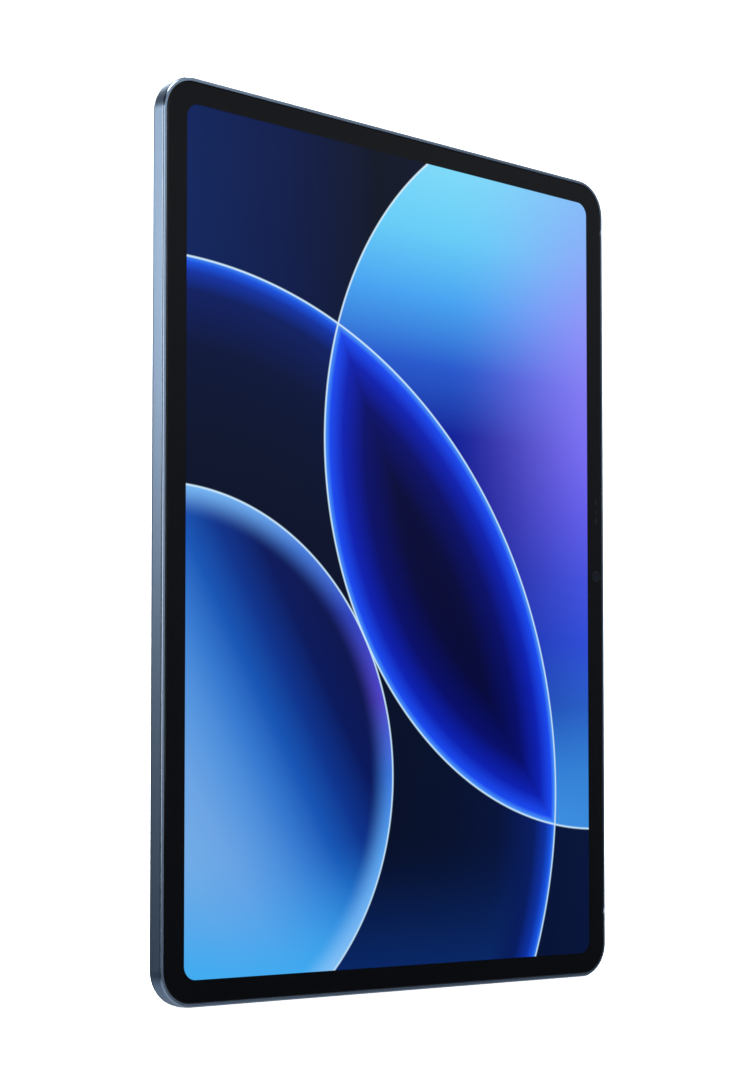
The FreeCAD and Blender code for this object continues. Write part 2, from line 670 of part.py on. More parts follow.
# ---------------------------------------------------------------- front camera and light sensors
def front_camera_body():
    y = (LEDGE_Y + SENSOR_GAP, LEDGE_Y + SENSOR_GAP + FRONT_CAMERA_DEPTH)
    body = bar(about(FRONT_CAMERA_X, FRONT_CAMERA_SIZE), y, about(MIDDLE_Z, FRONT_CAMERA_SIZE), SOFT_CORNER)
    bore_radius, bore_length = FRONT_LENS_RADIUS + RING_GAP, FRONT_LENS_LENGTH + HAIR
    return body.cut(rod(FRONT_CAMERA_X, LEDGE_Y, MIDDLE_Z, bore_radius, bore_length))


def front_camera_lens():
    """A small barrel with a soft-edged front element."""
    barrel = rod(FRONT_CAMERA_X, LEDGE_Y + HAIR, MIDDLE_Z, FRONT_LENS_RADIUS, FRONT_LENS_LENGTH)
    return rounded(barrel, FRONT_LENS_EDGE_RADIUS, lambda point: abs(point.y - LEDGE_Y - HAIR) < SAME)


def sensor_heights():
    """Z of the ambient light sensor and of the proximity sensor's two halves, from the top down."""
    return [SENSOR_TOP_Z - number * SENSOR_STEP for number in range(SENSOR_COUNT)]


def light_sensors():
    y = (LEDGE_Y + SENSOR_GAP, LEDGE_Y + SENSOR_GAP + SENSOR_DEPTH)
    x = about(FRONT_CAMERA_X, SENSOR_SIZE)
    return group(bar(x, y, about(height, SENSOR_SIZE), SOFT_CORNER) for height in sensor_heights())


def sensor_ribbon():
    """Short ribbon that the light sensors are soldered to."""
    start = LEDGE_Y + SENSOR_GAP + SENSOR_DEPTH
    z = (sensor_heights()[-1] - SENSOR_SIZE / 2, sensor_heights()[0] + SENSOR_SIZE / 2)
    return bar(about(FRONT_CAMERA_X, SENSOR_SIZE), (start, start + RIBBON_THICKNESS), z, SOFT_CORNER)


# ---------------------------------------------------------------- rear camera island
def island_block(size, y):
    """A square block with the island's corners, drawn in to a size, between the pair y."""
    corner = ISLAND_CORNER_RADIUS - (ISLAND_SIZE - size) / 2
    return bar(about(ISLAND_X, size), y, about(ISLAND_Z, size), corner)


def camera_island():
    """Raised plate with a stub that fills the hole in the back wall and two stepped seats."""
    cap = island_block(ISLAND_SIZE, (ISLAND_SEAT_Y, ISLAND_BACK_Y))
    cap = rounded(cap, ISLAND_EDGE_RADIUS, lambda point: abs(point.y - ISLAND_BACK_Y) < SAME)
    stub = island_block(PLUG_SIZE, (INNER_BACK_Y, ISLAND_SEAT_Y))
    cuts = []
    for height in (CAMERA_Z, FLASH_Z):
        depth = ISLAND_BACK_Y - RING_FRONT_Y
        through = ISLAND_BACK_Y - INNER_BACK_Y
        neck = CAMERA_NECK_RADIUS + CAMERA_NECK_GAP
        cuts.append(rod(ISLAND_X, RING_FRONT_Y, height, RING_RADIUS + RING_GAP, depth + OVERCUT))
        cuts.append(rod(ISLAND_X, INNER_BACK_Y - OVERCUT, height, neck, through + OVERCUT))
    return fused([cap, stub]).cut(cuts)


def lens_ring(height):
    """Polished ring that frames a window and stands a little proud of the island."""
    end = ISLAND_BACK_Y + RING_PROUD
    ring = rod(ISLAND_X, RING_FRONT_Y, height, RING_RADIUS, end - RING_FRONT_Y)
    ring = rounded(ring, RING_EDGE_RADIUS, lambda point: abs(point.y - end) < SAME)
    neck = CAMERA_NECK_RADIUS + CAMERA_NECK_GAP
    length = end - RING_FRONT_Y + 2 * OVERCUT
    bore = rod(ISLAND_X, RING_FRONT_Y - OVERCUT, height, neck, length)
    seat = rod(ISLAND_X, WINDOW_FRONT_Y, height, RING_RADIUS - RING_WALL + RING_GAP, length)
    return ring.cut([bore, seat])


def lens_window(height):
    """Round pane that closes a ring."""
    return rod(ISLAND_X, WINDOW_FRONT_Y, height, RING_RADIUS - RING_WALL, WINDOW_THICKNESS)


def rear_camera_body():
    """Square motor housing with a round neck, hollow for the lens barrel."""
    end = INNER_BACK_Y - HAIR
    x, z = about(ISLAND_X, CAMERA_BODY), about(CAMERA_Z, CAMERA_BODY)
    body = bar(x, (CAMERA_FRONT_Y, end), z, 2 * SOFT_CORNER)
    neck = rod(ISLAND_X, end - BITE, CAMERA_Z, CAMERA_NECK_RADIUS, CAMERA_NECK_LENGTH + BITE)
    bore_y = CAMERA_FRONT_Y + CAMERA_FLOOR
    depth = end + CAMERA_NECK_LENGTH - bore_y + OVERCUT
    bore = rod(ISLAND_X, bore_y, CAMERA_Z, BARREL_RADIUS + BARREL_GAP, depth)
    return fused([body, neck]).cut(bore)


def rear_lens_barrel():
    """The focusing barrel, dished round its front glass."""
    start = CAMERA_FRONT_Y + CAMERA_FLOOR + FOCUS_STOP_GAP
    end = WINDOW_FRONT_Y - FOCUS_TRAVEL - FOCUS_STOP_GAP
    barrel = rod(ISLAND_X, start, CAMERA_Z, BARREL_RADIUS, end - start)
    eye = FreeCAD.Vector(ISLAND_X, end - BARREL_DISH, CAMERA_Z)
    dish = Part.makeCone(BARREL_EYE_RADIUS, BARREL_RADIUS - SOFT_CORNER, BARREL_DISH, eye, DIRECTION["Y"])
    return barrel.cut(dish)


def camera_socket_x():
    """X pair of the socket that the rear camera plugs into."""
    end = ISLAND_X - CAMERA_BODY / 2 - CAMERA_SOCKET_GAP
    return (end - SOCKET_DEPTH, end)


def rear_camera_ribbon():
    """Ribbon from under the camera, sideways to its socket on the mainboard."""
    near, far = camera_socket_x()
    level, meet = CAMERA_FRONT_Y - RIBBON_THICKNESS, SOCKET_FRONT_Y - RIBBON_THICKNESS
    path = [(near, meet), (far, meet), (far + SOCKET_DEPTH, level), (ISLAND_X + CAMERA_BODY / 4, level)]
    return ribbon(path, about(CAMERA_Z, CAMERA_RIBBON_WIDTH), "X")


def flash_led():
    """Two-tone light on its own small board."""
    chip_y = BOARD_FRONT_Y + FLASH_BOARD_THICKNESS
    pieces = []
    for size, y in ((FLASH_BOARD, (BOARD_FRONT_Y, chip_y)), (FLASH_CHIP, (chip_y, BACK_Y))):
        pieces.append(bar(about(ISLAND_X, size), y, about(FLASH_Z, size), SOFT_CORNER))
    return fused(pieces)


# ---------------------------------------------------------------- boards
def drilled(board, places):
    """A board with its screw holes."""
    y = BOARD_FRONT_Y - OVERCUT
    radius = SCREW_RADIUS + SCREW_BOARD_GAP
    return board.cut([rod(x, y, z, radius, BOARD_THICKNESS + 2 * OVERCUT) for x, z in places])


def mainboard():
    """The main circuit board, notched round the rear camera and the flash."""
    x = (-CAVITY_X + BOARD_SIDE_GAP, CAVITY_X - BOARD_SIDE_GAP)
    board = bar(x, (BOARD_FRONT_Y, BOARD_BACK_Y), (MAINBOARD_BOTTOM, MAINBOARD_TOP), BOARD_CORNER_RADIUS)
    notch = bar(
        about(ISLAND_X, CAMERA_BODY + 2 * BOARD_SLOT_GAP),
        (BOARD_FRONT_Y - OVERCUT, BOARD_BACK_Y + OVERCUT),
        (FLASH_Z - FLASH_BOARD / 2 - BOARD_SLOT_GAP, MAINBOARD_TOP + OVERCUT),
    )
    return drilled(board.cut(notch), mainboard_screw_places())


def shield_height():
    """Z pair that both shields share."""
    return (MAINBOARD_BOTTOM + SHIELD_FROM_EDGE, MAINBOARD_TOP - SHIELD_FROM_EDGE)


def processor_span():
    """X pair of the shield over the processor and memory."""
    left = mainboard_screw_places()[0][0] + SHIELD_FROM_SCREW
    return (left, left + PROCESSOR_SHIELD)


def radio_span():
    """X pair of the shield over the radio chips."""
    _, between, beside_island = [x for x, _ in mainboard_screw_places()[:3]]
    return (between + SHIELD_FROM_SCREW, beside_island - SHIELD_FROM_SCREW)


def shield_can(x):
    """A pressed steel lid, open towards the board."""
    z = shield_height()
    y = (BOARD_FRONT_Y - SHIELD_HEIGHT, BOARD_FRONT_Y)
    wall = SHIELD_WALL
    inside_y = (y[0] + wall, y[1] + OVERCUT)
    inside = bar(shrunk(x, wall), inside_y, shrunk(z, wall), SHIELD_CORNER_RADIUS - wall)
    return bar(x, y, z, SHIELD_CORNER_RADIUS).cut(inside)


def chip(left, size, above=0.0):
    """A square package on the front of the mainboard, its left side at an X, above the shield's middle."""
    y = (BOARD_FRONT_Y - SHIELD_HEIGHT + SHIELD_WALL + CHIP_GAP, BOARD_FRONT_Y)
    return bar((left, left + size), y, about(sum(shield_height()) / 2 + above, size), SOFT_CORNER)


def mainboard_chips():
    """Processor, memory and power chip under one shield, and two radio chips under the other."""
    left = processor_span()[0] + CHIP_SPACING
    memory = left + PROCESSOR_SIZE + CHIP_SPACING
    radio, step = radio_span()[0] + CHIP_SPACING, (RADIO_CHIP_SIZE + CHIP_SPACING) / 2
    return group(
        [
            chip(left, PROCESSOR_SIZE),
            chip(memory, MEMORY_SIZE),
            chip(memory + MEMORY_SIZE + CHIP_SPACING, POWER_CHIP_SIZE),
            chip(radio, RADIO_CHIP_SIZE, step),
            chip(radio, RADIO_CHIP_SIZE, -step),
        ]
    )


def thermal_pad():
    """Soft pad that carries the processor's heat from the board to the back wall."""
    left = processor_span()[0] + CHIP_SPACING
    x = (left, left + PROCESSOR_SIZE + CHIP_SPACING + MEMORY_SIZE)
    z = about(sum(shield_height()) / 2, PROCESSOR_SIZE)
    return bar(x, (BOARD_BACK_Y, INNER_BACK_Y), z, STRIP_CORNER_RADIUS)


def board_screw(x, z):
    """A flat-headed screw with a cross drive."""
    front = BOARD_FRONT_Y - SCREW_HEAD_HEIGHT
    head = rod(x, front, z, SCREW_HEAD_RADIUS, SCREW_HEAD_HEIGHT)
    shank = rod(x, BOARD_FRONT_Y, z, SCREW_RADIUS, BOARD_THICKNESS + BOSS_HEIGHT - SCREW_TIP_GAP)
    y = (front - OVERCUT, front + DRIVE_DEPTH)
    cross = [
        bar(about(x, DRIVE_LENGTH), y, about(z, DRIVE_WIDTH)),
        bar(about(x, DRIVE_WIDTH), y, about(z, DRIVE_LENGTH)),
    ]
    return fused([head, shank]).cut(cross)


def board_screws():
    return group(board_screw(x, z) for x, z in mainboard_screw_places() + port_board_screw_places())


def port_board():
    """Small board behind the bottom edge, notched for the receptacle."""
    y = (BOARD_FRONT_Y, BOARD_BACK_Y)
    x, z = (-PORT_BOARD_HALF, PORT_BOARD_HALF), (PORT_BOARD_BOTTOM, PORT_BOARD_TOP)
    board = bar(x, y, z, BOARD_CORNER_RADIUS)
    notch_y = (BOARD_FRONT_Y - OVERCUT, BOARD_BACK_Y + OVERCUT)
    notch = bar(about(0, SHELL_WIDTH + 2 * SEAL_WIDTH + 2 * BOARD_SLOT_GAP), notch_y, (0, PORT_TOP))
    return drilled(board.cut(notch), port_board_screw_places())


def socket(x, z):
    """A press-in socket on the front of a board."""
    return bar(x, (SOCKET_FRONT_Y, BOARD_FRONT_Y), z, SOFT_CORNER)


def board_connectors():
    """Sockets for the ribbons: the link's two ends, the display, the battery and the rear camera."""
    margin = 2 * SOCKET_MARGIN
    return group(
        [
            socket(about(0, LINK_RIBBON_WIDTH + margin), PORT_SOCKET_Z),
            socket(about(0, LINK_RIBBON_WIDTH + margin), MAIN_SOCKET_Z),
            socket(about(DISPLAY_RIBBON_X, DISPLAY_RIBBON_WIDTH + margin), MAIN_SOCKET_Z),
            socket(about(BATTERY_RIBBON_X, BATTERY_RIBBON_WIDTH + margin), MAIN_SOCKET_Z),
            socket(camera_socket_x(), about(CAMERA_Z, CAMERA_RIBBON_WIDTH + margin)),
        ]
    )


def board_link_ribbon():
    """Ribbon from the port board, over the battery, to the mainboard."""
    meet = SOCKET_FRONT_Y - RIBBON_THICKNESS
    path = [
        (PORT_SOCKET_Z[0], meet),
        (PORT_SOCKET_Z[1], meet),
        (PORT_SOCKET_Z[1] + SOCKET_DEPTH, RIBBON_Y),
        (MAIN_SOCKET_Z[0] - SOCKET_DEPTH, RIBBON_Y),
        (MAIN_SOCKET_Z[0], meet),
        (MAIN_SOCKET_Z[1], meet),
    ]
    return ribbon(path, about(0, LINK_RIBBON_WIDTH), "Z")


# ---------------------------------------------------------------- battery
def battery_cell(side):
    """A pouch cell with soft long edges and a sealed terrace at its top; side is -1 or +1."""
    x = tuple(sorted((side * CELL_GAP / 2, side * CELL_OUTER_X)))
    pouch = bar(x, (CELL_FRONT_Y, CELL_BACK_Y), (CELL_BOTTOM, CELL_TOP - TERRACE_LENGTH), CELL_CORNER_RADIUS)
    faces = (CELL_FRONT_Y, CELL_BACK_Y)
    pouch = rounded(pouch, CELL_EDGE_RADIUS, lambda point: min(abs(point.y - y) for y in faces) < SAME)
    terrace_y = about(sum(faces) / 2, TERRACE_THICKNESS)
    terrace_z = (CELL_TOP - TERRACE_LENGTH - BITE, CELL_TOP - HAIR)
    terrace = bar(shrunk(x, TERRACE_MARGIN), terrace_y, terrace_z, TERRACE_CORNER_RADIUS)
    return fused([pouch, terrace])


def battery_adhesive():
    """Pull-away strips between the cells and the back wall."""
    strips = []
    y, z = (CELL_BACK_Y, INNER_BACK_Y), shrunk((CELL_BOTTOM, CELL_TOP - TERRACE_LENGTH), STRIP_END_GAP)
    for side in (-1, 1):
        for number in range(STRIPS_PER_CELL):
            share = (number + 0.5) / STRIPS_PER_CELL
            middle = side * (CELL_GAP / 2 + share * (CELL_OUTER_X - CELL_GAP / 2))
            strips.append(bar(about(middle, STRIP_WIDTH), y, z, STRIP_CORNER_RADIUS))
    return group(strips)


def battery_protection_board():
    """Narrow circuit above the cells that their tabs are welded to."""
    reach = CELL_OUTER_X - TERRACE_MARGIN
    y = (BOARD_FRONT_Y, BOARD_FRONT_Y + BOARD_THICKNESS / 2)
    z = (CELL_TOP, MAINBOARD_BOTTOM - PROTECTION_BOARD_GAP)
    board = bar((-reach, reach), y, z, STRIP_CORNER_RADIUS)
    part_z = about(sum(z) / 2, PROTECTION_PART_WIDTH)
    parts = []
    for side in (-1, 1):
        for place in PROTECTION_PARTS_FROM_END:
            part_x = about(side * (reach - place), PROTECTION_PART_LENGTH)
            parts.append(bar(part_x, (y[0] - SOCKET_HEIGHT, y[0]), part_z))
    return fused([board, *parts])


def battery_ribbon():
    """Short ribbon from the protection board to its socket on the mainboard."""
    meet = SOCKET_FRONT_Y - RIBBON_THICKNESS
    start = BOARD_FRONT_Y - RIBBON_THICKNESS
    solder = (CELL_TOP + PROTECTION_BOARD_GAP, CELL_TOP + PROTECTION_BOARD_GAP + SOFT_CORNER)
    rise = MAIN_SOCKET_Z[0] - SOCKET_DEPTH / 2
    path = [(solder[0], start), (solder[1], start), (rise, meet), (MAIN_SOCKET_Z[1], meet)]
    return ribbon(path, about(BATTERY_RIBBON_X, BATTERY_RIBBON_WIDTH), "Z")


# ---------------------------------------------------------------- port
def port_section(z, inset=0.0):
    """A stadium block on the port's line, inside the shell's outline by an inset."""
    x, y = about(0, SHELL_WIDTH - 2 * inset), about(EDGE_Y, SHELL_HEIGHT - 2 * inset)
    return bar(x, y, z, SHELL_HEIGHT, "Z")


def usb_shell():
    """Drawn steel shell of the receptacle."""
    return port_section((SHELL_RECESS, PORT_TOP)).cut(port_section((0, PORT_TOP + OVERCUT), SHELL_WALL))


def usb_tongue():
    """The moulded base that closes the shell, with the tongue that a plug goes over."""
    base = port_section((PORT_TOP - TONGUE_BASE, PORT_TOP), SHELL_WALL)
    x, y = about(0, TONGUE_WIDTH), about(EDGE_Y, TONGUE_THICKNESS)
    z = (SHELL_RECESS + TONGUE_RECESS, PORT_TOP - TONGUE_BASE + BITE)
    tongue = bar(x, y, z, TONGUE_CORNER_RADIUS, "Z")
    return fused([base, tongue])


def usb_contacts():
    """Gold strips on both faces of the tongue."""
    strips = []
    start = SHELL_RECESS + TONGUE_RECESS + PORT_CONTACT_FROM_TIP
    face = TONGUE_THICKNESS / 2 + PORT_CONTACT_THICKNESS / 2
    for number in range(PORT_CONTACTS):
        x = about((number - (PORT_CONTACTS - 1) / 2) * PORT_CONTACT_PITCH, PORT_CONTACT_WIDTH)
        for middle in (EDGE_Y - face, EDGE_Y + face):
            y = about(middle, PORT_CONTACT_THICKNESS)
            strips.append(bar(x, y, (start, start + PORT_CONTACT_LENGTH)))
    return group(strips)


def usb_seal():
    """Silicone ring round the shell, pressed against the inside of the wall."""
    z = (SIDE_WALL, SIDE_WALL + SEAL_THICKNESS)
    return port_section(z, -SEAL_WIDTH).cut(port_section((z[0] - OVERCUT, z[1] + OVERCUT)))


# ---------------------------------------------------------------- speakers and microphones
def speaker_mouth(middle, z, margin):
    """The block behind a grille, grown by a margin."""
    x, y = about(middle, GRILLE_WIDTH + 2 * margin), about(EDGE_Y, GRILLE_HOLE_DIAMETER + 2 * margin)
    return bar(x, y, z, SOFT_CORNER, "Z")


def speaker_box(middle, at_top):
    """A hollow sound box with its mouth behind the grille and a seat for the driver."""
    far = SPEAKER_INSET + SPEAKER_DEPTH
    wall = SPEAKER_WALL
    x, z = about(middle, SPEAKER_WIDTH), from_end(at_top, SPEAKER_INSET, far)
    y = (CAMERA_FRONT_Y, INNER_BACK_Y - HAIR)
    inner_z = from_end(at_top, SPEAKER_INSET + wall, far - wall)
    inside = bar(shrunk(x, wall), shrunk(y, wall), inner_z, SPEAKER_CORNER_RADIUS - wall)
    mouth_z = from_end(at_top, SPEAKER_INSET - OVERCUT, SPEAKER_INSET + wall + BITE)
    mouth = speaker_mouth(middle, mouth_z, MOUTH_MARGIN)
    seat = driver_block(middle, at_top, (y[0] - OVERCUT, y[0] + wall + BITE))
    return bar(x, y, z, SPEAKER_CORNER_RADIUS).cut([inside, mouth, seat])


def driver_block(middle, at_top, y, margin=0.0):
    """The block that a driver takes up between the pair y, inside its outline by a margin."""
    near = SPEAKER_INSET + DRIVER_MARGIN + margin
    z = from_end(at_top, near, SPEAKER_INSET + SPEAKER_DEPTH - DRIVER_MARGIN - margin)
    return bar(about(middle, DRIVER_WIDTH - 2 * margin), y, z, SPEAKER_CORNER_RADIUS)


def speaker_driver(middle, at_top):
    """Diaphragm plate with the magnet behind it."""
    start = CAMERA_FRONT_Y
    cone = driver_block(middle, at_top, (start, start + SPEAKER_WALL))
    magnet_y = (start + SPEAKER_WALL - BITE, start + SPEAKER_WALL + DRIVER_MAGNET_THICKNESS)
    return fused([cone, driver_block(middle, at_top, magnet_y, MAGNET_MARGIN)])


def speaker_drivers():
    return group(speaker_driver(middle, at_top) for middle, at_top in speaker_places().values())


def speaker_meshes():
    """Fine dust screens directly behind the grille holes."""
    depth = (SIDE_WALL, SIDE_WALL + MESH_THICKNESS)
    return group(
        speaker_mouth(middle, from_end(at_top, *depth), MESH_MARGIN)
        for middle, at_top in speaker_places().values()
    )


def speaker_gaskets():
    """Foam frames between the dust screens and the sound boxes."""
    frames = []
    for middle, at_top in speaker_places().values():
        near, far = SIDE_WALL + MESH_THICKNESS, SPEAKER_INSET
        through = from_end(at_top, near - OVERCUT, far + OVERCUT)
        hole = speaker_mouth(middle, through, GASKET_OVERHANG)
        frames.append(speaker_mouth(middle, from_end(at_top, near, far), MESH_MARGIN).cut(hole))
    return group(frames)


def microphones():
    """Small capsules behind the microphone holes."""
    y = about(EDGE_Y, GRILLE_HOLE_DIAMETER)
    depth = (SIDE_WALL + HAIR, SIDE_WALL + HAIR + MIC_THICKNESS)
    height = MIDDLE_Z + SIDE_MIC_ABOVE_MIDDLE
    return group(
        [
            bar(about(TOP_MIC_X, MIC_SIZE), y, from_end(True, *depth), SOFT_CORNER, "Z"),
            bar(about(BOTTOM_MIC_X, MIC_SIZE), y, from_end(False, *depth), SOFT_CORNER, "Z"),
            bar(from_side(1, *depth), y, about(height, MIC_SIZE), SOFT_CORNER, "X"),
        ]
    )


# ---------------------------------------------------------------- keys
def power_key():
    """Anodised key cap with a flange that keeps it in and a stem that pushes its switch."""
    cap_y, flange_y = about(EDGE_Y, KEY_WIDTH), about(EDGE_Y, FLANGE_WIDTH)
    flange = from_end(True, KEY_LIP + HAIR, KEY_LIP + HAIR + KEY_FLANGE)
    cap = bar(about(POWER_X, POWER_KEY_LENGTH), cap_y, (flange[1] - BITE, TOP + KEY_PROUD), KEY_WIDTH, "Z")
    cap = rounded(cap, KEY_EDGE_RADIUS, lambda point: abs(point.z - TOP - KEY_PROUD) < SAME)
    base = bar(about(POWER_X, POWER_KEY_LENGTH + 2 * KEY_FLANGE_REACH), flange_y, flange, SOFT_CORNER, "Z")
    stem = rod(POWER_X, EDGE_Y, TOP - SIDE_WALL, STEM_RADIUS, flange[0] - TOP + SIDE_WALL + BITE, "Z")
    return fused([cap, base, stem])


def volume_rocker():
    """Anodised rocker that tilts on a round rib behind its middle, with a stem for each switch."""
    cap_y, flange_y = about(EDGE_Y, KEY_WIDTH), about(EDGE_Y, FLANGE_WIDTH)
    flange = (VOLUME_PIVOT_X - KEY_FLANGE, VOLUME_PIVOT_X)
    cap_x = (flange[1] - BITE, HALF_WIDTH + KEY_PROUD)
    cap = bar(cap_x, cap_y, about(VOLUME_Z, VOLUME_KEY_LENGTH), KEY_WIDTH, "X")
    cap = rounded(cap, KEY_EDGE_RADIUS, lambda point: abs(point.x - HALF_WIDTH - KEY_PROUD) < SAME)
    base = bar(flange, flange_y, about(VOLUME_Z, VOLUME_KEY_LENGTH + 2 * KEY_FLANGE_REACH), SOFT_CORNER, "X")
    rib = rod(VOLUME_PIVOT_X, flange_y[0], VOLUME_Z, VOLUME_RIB_RADIUS, FLANGE_WIDTH)
    stem_length = flange[0] - CAVITY_X + BITE
    stems = [rod(CAVITY_X, EDGE_Y, height, STEM_RADIUS, stem_length, "X") for height in volume_stem_places()]
    return fused([cap, base, rib, *stems])


def key_switches():
    """Three switches, each with a well that its button sinks into."""
    depth = (SWITCH_INSET, SWITCH_INSET + SWITCH_HEIGHT)
    y = about(EDGE_Y, SWITCH_WIDTH)
    floor = SWITCH_INSET + SWITCH_HEIGHT - SWITCH_FLOOR
    radius, length = SWITCH_BUTTON_RADIUS + SWITCH_BUTTON_GAP, SWITCH_HEIGHT
    power = bar(about(POWER_X, SWITCH_LENGTH), y, from_end(True, *depth), SOFT_CORNER, "Z")
    switches = [power.cut(rod(POWER_X, EDGE_Y, TOP - floor, radius, length, "Z"))]
    for height in volume_stem_places():
        body = bar(from_side(1, *depth), y, about(height, SWITCH_LENGTH), SOFT_CORNER, "X")
        switches.append(body.cut(rod(HALF_WIDTH - floor, EDGE_Y, height, radius, length, "X")))
    return group(switches)


def switch_button_length():
    return SWITCH_WALL_GAP + SWITCH_HEIGHT - SWITCH_FLOOR - KEY_TRAVEL - HAIR


def power_switch_button():
    """The part of the power switch that the key's stem pushes. It sits on the stem's end."""
    length = switch_button_length()
    return rod(POWER_X, EDGE_Y, TOP - SIDE_WALL - length, SWITCH_BUTTON_RADIUS, length, "Z")


def volume_switch_buttons():
    """The same for the rocker's two switches."""
    length = switch_button_length()
    x = CAVITY_X - length
    heights = volume_stem_places()
    return group(rod(x, EDGE_Y, height, SWITCH_BUTTON_RADIUS, length, "X") for height in heights)


def bracket_span():
    """Z pair of the plate behind the rocker's switches."""
    low, high = volume_stem_places()
    return (low - BRACKET_REACH, high + BRACKET_REACH)


def key_ribbon():
    """Ribbon on edge behind the switches, round the top right corner, with a tab on the mainboard."""
    y = about(EDGE_Y, KEY_RIBBON_WIDTH)
    outer = plate(KEY_RIBBON_INSET, y)
    ring = outer.cut(plate(BRACKET_INSET, (y[0] - OVERCUT, y[1] + OVERCUT)))
    low = bracket_span()[0] - KEY_TAB_DROP
    strip = ring.common(bar((POWER_X - SWITCH_LENGTH, HALF_WIDTH), y, (low, TOP)))
    tab_x = (CAVITY_X - BOARD_SIDE_GAP - KEY_TAB_OVERLAP, HALF_WIDTH - KEY_RIBBON_INSET)
    tab = bar(tab_x, (BOARD_FRONT_Y - RIBBON_THICKNESS, BOARD_FRONT_Y), (low, low + KEY_TAB_LENGTH))
    return fused([strip, tab])


def key_brackets():
    """Spring steel plates that back the switches."""
    y = about(EDGE_Y, BRACKET_WIDTH)
    depth = (BRACKET_INSET, BRACKET_INSET + BRACKET_THICKNESS)
    power = bar(about(POWER_X, 2 * BRACKET_REACH), y, from_end(True, *depth), SOFT_CORNER, "Z")
    volume = bar(from_side(1, *depth), y, bracket_span(), SOFT_CORNER, "X")
    return group([power, volume])


# ---------------------------------------------------------------- contacts, magnets, antennas
def contact_insulator():
    """Moulded block, flush with the back, that holds the accessory contacts."""
    start = INNER_BACK_Y - OVERCUT
    length = BACK_WALL + 2 * OVERCUT
    holes = [rod(CONTACT_X, start, height, CONTACT_RADIUS, length) for height in contact_places()]
    return contact_block((INNER_BACK_Y, BACK_Y)).cut(holes)


def accessory_contacts():
    """Gold pads that a keyboard cover's pins press on."""
    length = BACK_WALL - CONTACT_RECESS
    return group(rod(CONTACT_X, INNER_BACK_Y, height, CONTACT_RADIUS, length) for height in contact_places())


def contact_ribbon():
    """Ribbon on the back wall from the contacts up behind the mainboard."""
    y = (INNER_BACK_Y - RIBBON_THICKNESS, INNER_BACK_Y)
    z = (contact_places()[0] - CONTACT_RADIUS, MAINBOARD_BOTTOM + SHIELD_FROM_EDGE)
    return bar(about(CONTACT_X, CONTACT_RIBBON_WIDTH), y, z, STRIP_CORNER_RADIUS)


def edge_magnets():
    """Rows of magnets that hold a stylus on the right-hand side and a cover on the left."""
    depth = (SIDE_WALL + MAGNET_WALL_GAP, SIDE_WALL + MAGNET_WALL_GAP + MAGNET_WIDTH)
    y = (INNER_BACK_Y - HAIR - MAGNET_HEIGHT, INNER_BACK_Y - HAIR)
    magnets = []
    for side in (-1, 1):
        for number in range(MAGNETS_PER_SIDE):
            z = about(MAGNETS_FROM_BOTTOM + number * MAGNET_PITCH, MAGNET_LENGTH)
            magnets.append(bar(from_side(side, *depth), y, z, SOFT_CORNER))
    return group(magnets)


def antenna_carriers():
    """Plastic blocks that hold the radiators just inside the antenna windows."""
    near = BRACKET_INSET + SENSOR_GAP
    x, y = from_side(1, near, near + CARRIER_WIDTH), (BOARD_FRONT_Y, INNER_BACK_Y - HAIR)
    low = about(ANTENNA_FROM_BOTTOM, CARRIER_LENGTH)
    high = (MAINBOARD_TOP + BOARD_SLOT_GAP, MAINBOARD_TOP + BOARD_SLOT_GAP + CARRIER_LENGTH)
    return group(bar(x, y, z, SOFT_CORNER) for z in (low, high))


# ---------------------------------------------------------------- every node
NODES = {
    "unibody_housing": unibody_housing,
    "antenna_inserts": antenna_inserts,
    "cover_glass": cover_glass,
    "glass_gasket": glass_gasket,
    "optical_adhesive": optical_adhesive,
    "lcd_panel": lcd_panel,
    "light_guide": light_guide,
    "backlight_tray": backlight_tray,
    "display_ribbon": display_ribbon,
    "front_camera_body": front_camera_body,
    "front_camera_lens": front_camera_lens,
    "light_sensors": light_sensors,
    "sensor_ribbon": sensor_ribbon,
    "camera_island": camera_island,
    "rear_camera_ring": lambda: lens_ring(CAMERA_Z),
    "rear_camera_window": lambda: lens_window(CAMERA_Z),
    "rear_camera_body": rear_camera_body,
    "rear_lens_barrel": rear_lens_barrel,
    "rear_camera_ribbon": rear_camera_ribbon,
    "flash_ring": lambda: lens_ring(FLASH_Z),
    "flash_window": lambda: lens_window(FLASH_Z),
    "flash_led": flash_led,
    "mainboard": mainboard,
    "mainboard_chips": mainboard_chips,
    "processor_shield": lambda: shield_can(processor_span()),
    "radio_shield": lambda: shield_can(radio_span()),
    "thermal_pad": thermal_pad,
    "board_screws": board_screws,
    "board_connectors": board_connectors,
    "board_link_ribbon": board_link_ribbon,
    "port_board": port_board,
    "battery_cell_left": lambda: battery_cell(-1),
    "battery_cell_right": lambda: battery_cell(1),
    "battery_adhesive": battery_adhesive,
    "battery_protection_board": battery_protection_board,
    "battery_ribbon": battery_ribbon,
    "usb_shell": usb_shell,
    "usb_tongue": usb_tongue,
    "usb_contacts": usb_contacts,
    "usb_seal": usb_seal,
    "speaker_drivers": speaker_drivers,
    "speaker_meshes": speaker_meshes,
    "speaker_gaskets": speaker_gaskets,
    "microphones": microphones,
    "power_key": power_key,
    "power_switch_button": power_switch_button,
    "volume_rocker": volume_rocker,
    "volume_switch_buttons": volume_switch_buttons,
    "key_switches": key_switches,
    "key_ribbon": key_ribbon,
    "key_brackets": key_brackets,
    "contact_insulator": contact_insulator,
    "accessory_contacts": accessory_contacts,
    "contact_ribbon": contact_ribbon,
    "edge_magnets": edge_magnets,
    "antenna_carriers": antenna_carriers,
}
